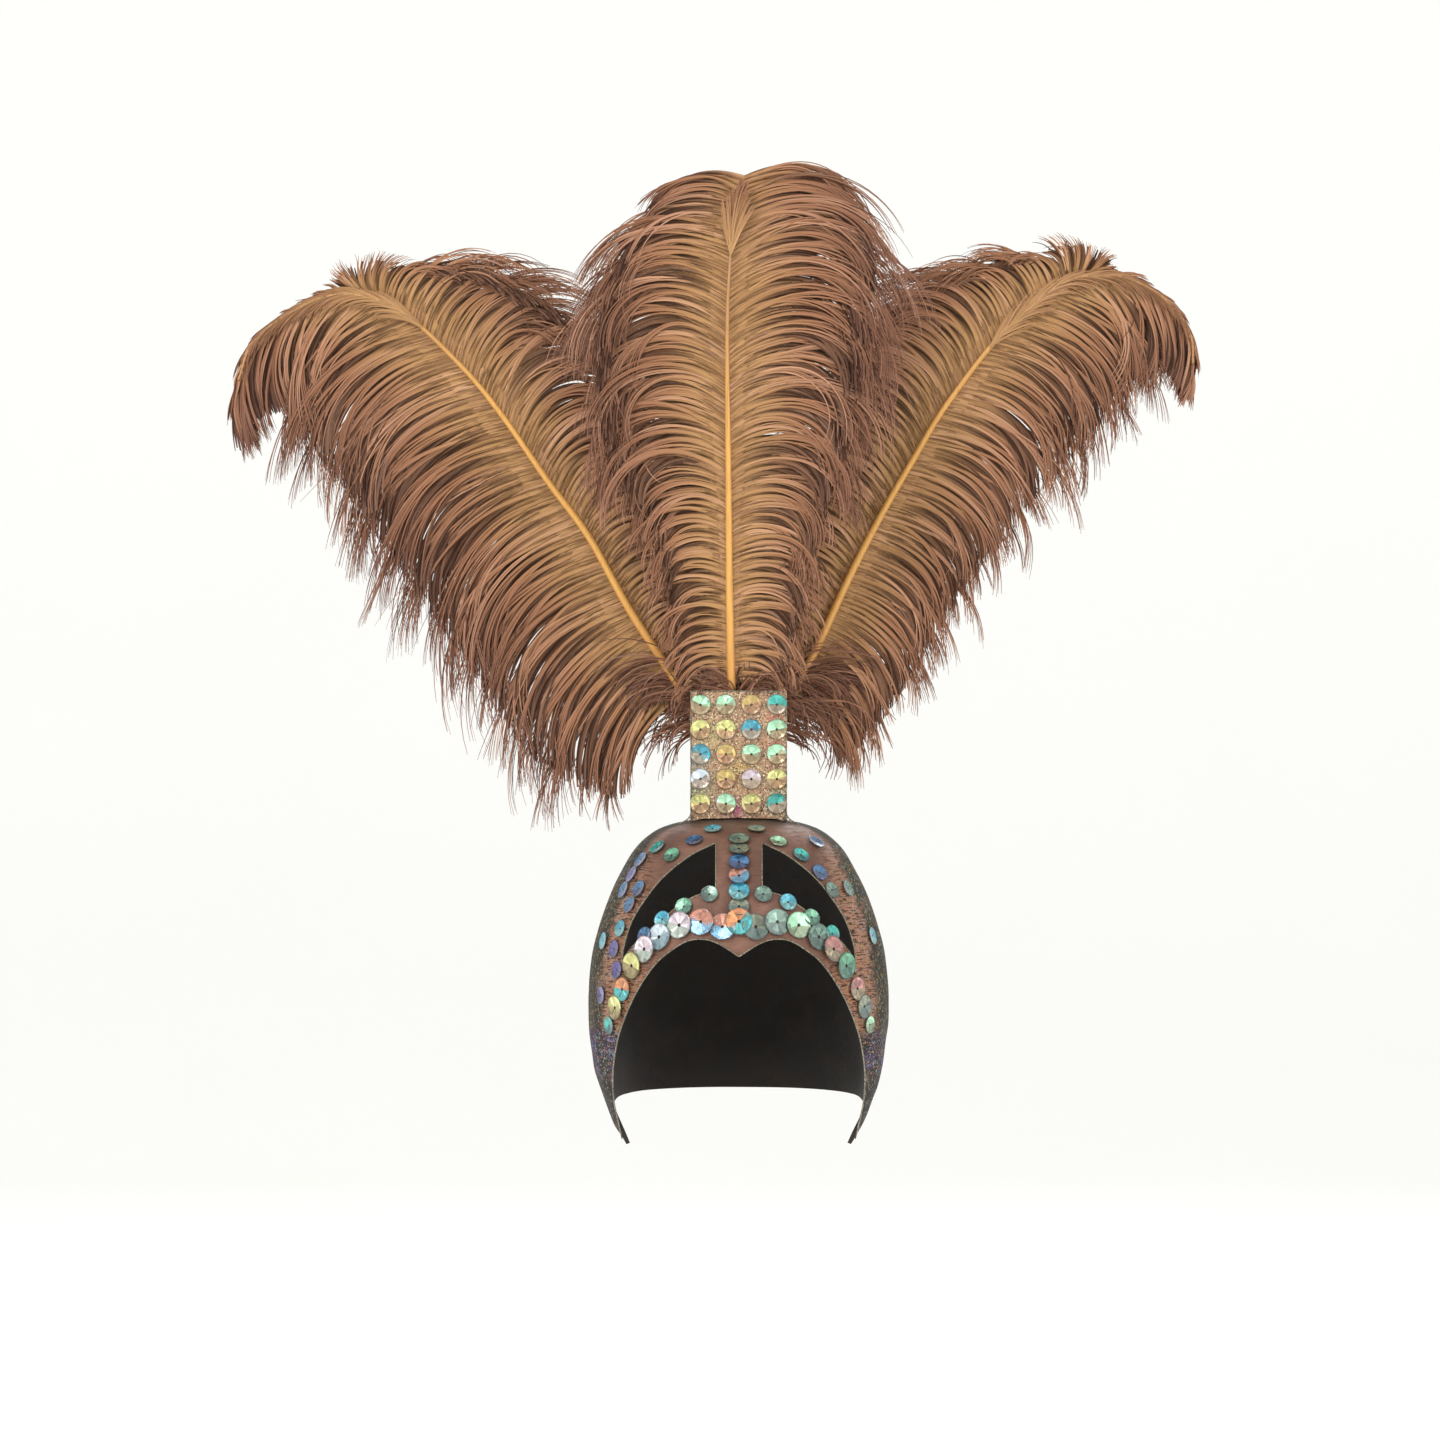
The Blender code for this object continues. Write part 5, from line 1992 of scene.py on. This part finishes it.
@dataclass
class BaseDown:
    """Curled down around the roots of the quills and loose strands that hang beside the holder."""

    steps: int = 14
    seed: int = 17
    patches: tuple[DownPatch, ...] = (
        DownPatch(150, 3, (1, 23), (-12, 5), (60, 78), (15, 88), (30, 175), (12, 28), (0.05, 0.7)),
        DownPatch(40, 4, (0, 9), (-13, 2), (64, 74), (20, 88), (-30, 120), (9, 20), (0.05, 0.75)),
        DownPatch(
            70, 3, (0, 25), (2, 12), (52, 66), (50, 100), (-40, 60), (22, 40), (-0.2, 0.2), 0.0
        ),
        DownPatch(
            30, 4, (0, 8), (-4, 6), (58, 68), (55, 125), (-25, 25), (14, 26), (-0.1, 0.4), 0.0
        ),
        DownPatch(
            46, 5, (16, 27), (7, 13), (60, 82), (2, 50), (40, 105), (34, 78), (0.1, 0.95), 1.6
        ),
        DownPatch(
            26, 4, (20, 27), (1, 10), (48, 70), (-25, 20), (20, 70), (18, 46), (0.1, 0.8), 1.4
        ),
    )

    def lay_patch(self, bundle: HairBundle, patch: DownPatch, side: int, rng: Chance) -> None:
        """Lay one patch on one side.

        Args:
            bundle: Bundle that gets the hairs.
            patch: The patch.
            side: -1 for the left and 1 for the right.
            rng: Seeded source of chance.
        """
        tuft = np.repeat(np.arange(patch.tufts), patch.hairs)
        count = len(tuft)
        spans = (patch.across, patch.behind, patch.height)
        roots = np.stack([rng.uniform(*span, patch.tufts) for span in spans], axis=1)
        start = roots[tuft] * MM + rng.normal(0, 0.0007, (count, 3))
        start[:, 0] *= side
        part, node = stations(self.steps)
        heading = rng.uniform(*patch.heading, patch.tufts)[tuft] + rng.normal(0, 4, count)
        curl = rng.uniform(*patch.curl, patch.tufts)[tuft] + rng.normal(0, 9, count)
        angle = np.radians(heading)[:, None] - np.radians(curl)[:, None] * part**1.3
        sway = rng.normal(0, 0.12, patch.tufts)[tuft]
        angle = angle + sway[:, None] * np.sin(9 * part)
        angle = sag(angle if side > 0 else math.pi - angle, part, patch.weight)
        length = rng.uniform(*patch.length, patch.tufts)[tuft]
        length = length * rng.uniform(0.82, 1.0, count) * MM
        depth = scatter(rng, tuft, 0.004, 0.0008)[:, None] * node
        points, sideways = grow(start, angle, length, depth)
        width = rng.uniform(0.0007, 0.001, count)[:, None] * (1 - 0.6 * node**1.6)
        along = (0.42 + 0.5 * node) * np.ones((count, 1))
        # Painted light and shade for each hair, drawn within the patch's range.
        painted_light = rng.uniform(*patch.light, count)[:, None] * np.ones_like(node)
        roll = rng.uniform(-0.8, 0.8, count)
        bundle.lay(points, sideways, width, roll, along, painted_light, rng.random(count))

    def build(self, finish: Finish) -> Piece:
        """Build the down.

        Args:
            finish: Material of the barbs.

        Returns:
            The piece.
        """
        rng = np.random.default_rng(self.seed)
        bundle = HairBundle()
        for patch in self.patches:
            for side in SIDES:
                self.lay_patch(bundle, patch, side, rng)
        return settle(bundle.join("base_down"), finish, "plume")


@dataclass
class Studio:
    """Pale curved backdrop, soft lights and the camera at the front."""

    distance: float = 4.0
    view_width: float = 0.8064
    middle: Span = (-0.0104, 0.0569)
    sensor: float = 36.0
    far_clip: float = 100.0
    floor: float = -0.42
    half: float = 9.0
    wall: float = 4.5
    wall_height: float = 9.0
    bend: float = 1.2
    bend_steps: int = 24
    aim: tuple[float, float, float] = (0, 0, 0.08)
    room: Colour = (1.0, 0.998, 0.992, 1.0)
    room_strength: float = 0.88
    # Name, place, size and power of each lamp.
    lamps: tuple[tuple[str, tuple[float, float, float], float, float], ...] = (
        ("key", (-1.6, -2.4, 2.0), 1.4, 46.0),
        ("fill", (2.2, -2.2, 0.9), 1.8, 20.0),
        ("back", (0.4, 2.2, 1.8), 1.2, 16.0),
    )

    def build_backdrop(self, finish: Finish) -> None:
        """Build the floor that bends up into a wall.

        Args:
            finish: Material of the paper.
        """
        shape = bmesh.new()
        grid = bmesh.ops.create_grid(shape, x_segments=1, y_segments=1, size=self.half)["verts"]
        far = self.wall - self.bend
        bmesh.ops.translate(shape, vec=(0, far - self.half, self.floor), verts=grid)
        lip = [e for e in shape.edges if all(abs(v.co.y - far) < 0.001 for v in e.verts)]
        made = bmesh.ops.spin(
            shape,
            geom=lip,
            cent=(0, far, self.floor + self.bend),
            axis=(1, 0, 0),
            angle=math.pi / 2,
            steps=self.bend_steps,
        )["geom_last"]
        lip = [item for item in made if isinstance(item, bmesh.types.BMEdge)]
        top, _ = extrude_ring(shape, lip)
        bmesh.ops.translate(shape, vec=(0, 0, self.wall_height), verts=top)
        backdrop = piece_from_shape("backdrop", shape)
        backdrop.data.materials.append(finish)

    def light(self) -> None:
        """Set the even light of the room and the soft square lamps that face the headdress."""
        scene = bpy.context.scene
        world = bpy.data.worlds.new("room")
        world.use_nodes = True
        background = world.node_tree.nodes["Background"]
        background.inputs[0].default_value = self.room
        background.inputs[1].default_value = self.room_strength
        scene.world = world
        scene.view_settings.view_transform = "Standard"
        for name, place, size, power in self.lamps:
            light = bpy.data.lights.new(name, "AREA")
            light.energy = power
            light.size = size
            lamp = link(name, light)
            lamp.location = place
            facing = Vector(self.aim) - Vector(place)
            lamp.rotation_euler = facing.to_track_quat("-Z", "Y").to_euler()

    def place_camera(self) -> None:
        """Place the camera straight in front."""
        camera = bpy.data.cameras.new("front_camera")
        camera.sensor_width = self.sensor
        camera.lens = self.sensor * self.distance / self.view_width
        camera.clip_end = self.far_clip
        item = link("front_camera", camera)
        item.location = (self.middle[0], -self.distance, self.middle[1])
        item.rotation_euler = (math.pi / 2, 0, 0)
        bpy.context.scene.camera = item


def main() -> None:
    """Build and dress the whole headdress."""
    logging.basicConfig(level=logging.INFO, format="%(name)s: %(message)s")
    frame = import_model()
    nodes = frame["nodes"]

    barbs = BarbFinish().make()
    horn = QuillFinish().make()
    plumes = (
        Plume(
            "centre", CENTRE_PATH, CENTRE_LOCKS, 0.362, 0.0064, 0.022, -0.0085, 0.175, 0.86, 3,
            tip_darkness=0.1,
        ),
        Plume("left", LEFT_PATH, LEFT_LOCKS, 0.297, 0.281, 0.026, 0.0005, 0.125, 0.70, 5, side=-1),
        Plume("right", RIGHT_PATH, RIGHT_LOCKS, 0.307, 0.255, 0.026, 0.0005, 0.125, 0.64, 7),
    )
    for plume in plumes:
        plume.build_shaft(horn)
        plume.build_vane(barbs)
    BaseDown().build(barbs)

    cap = Cap()
    cap.build_shell(CapClothFinish().make(), LiningFinish().make())
    wire = WireFinish().make()
    cap.build_wires(wire)

    holder = Holder()
    holder.build_panel(cap, GlitterClothFinish().make())
    holder.build_trim(wire)
    foil = FoilFinish().make()
    holder.sew_sequins(SequinSewing(paint(172, 132, 98), 0.7, 0.07), nodes, foil)
    CapSequins().sew(SequinSewing(paint(104, 80, 70), 0.25, 0.03), cap, nodes, foil)

    socket = nodes["quill_socket"]
    felt = FeltFinish().make()
    for slot in socket.material_slots:
        slot.material = felt

    studio = Studio()
    studio.build_backdrop(StudioFinish().make())
    studio.light()
    studio.place_camera()


if __name__ == "__main__":
    main()
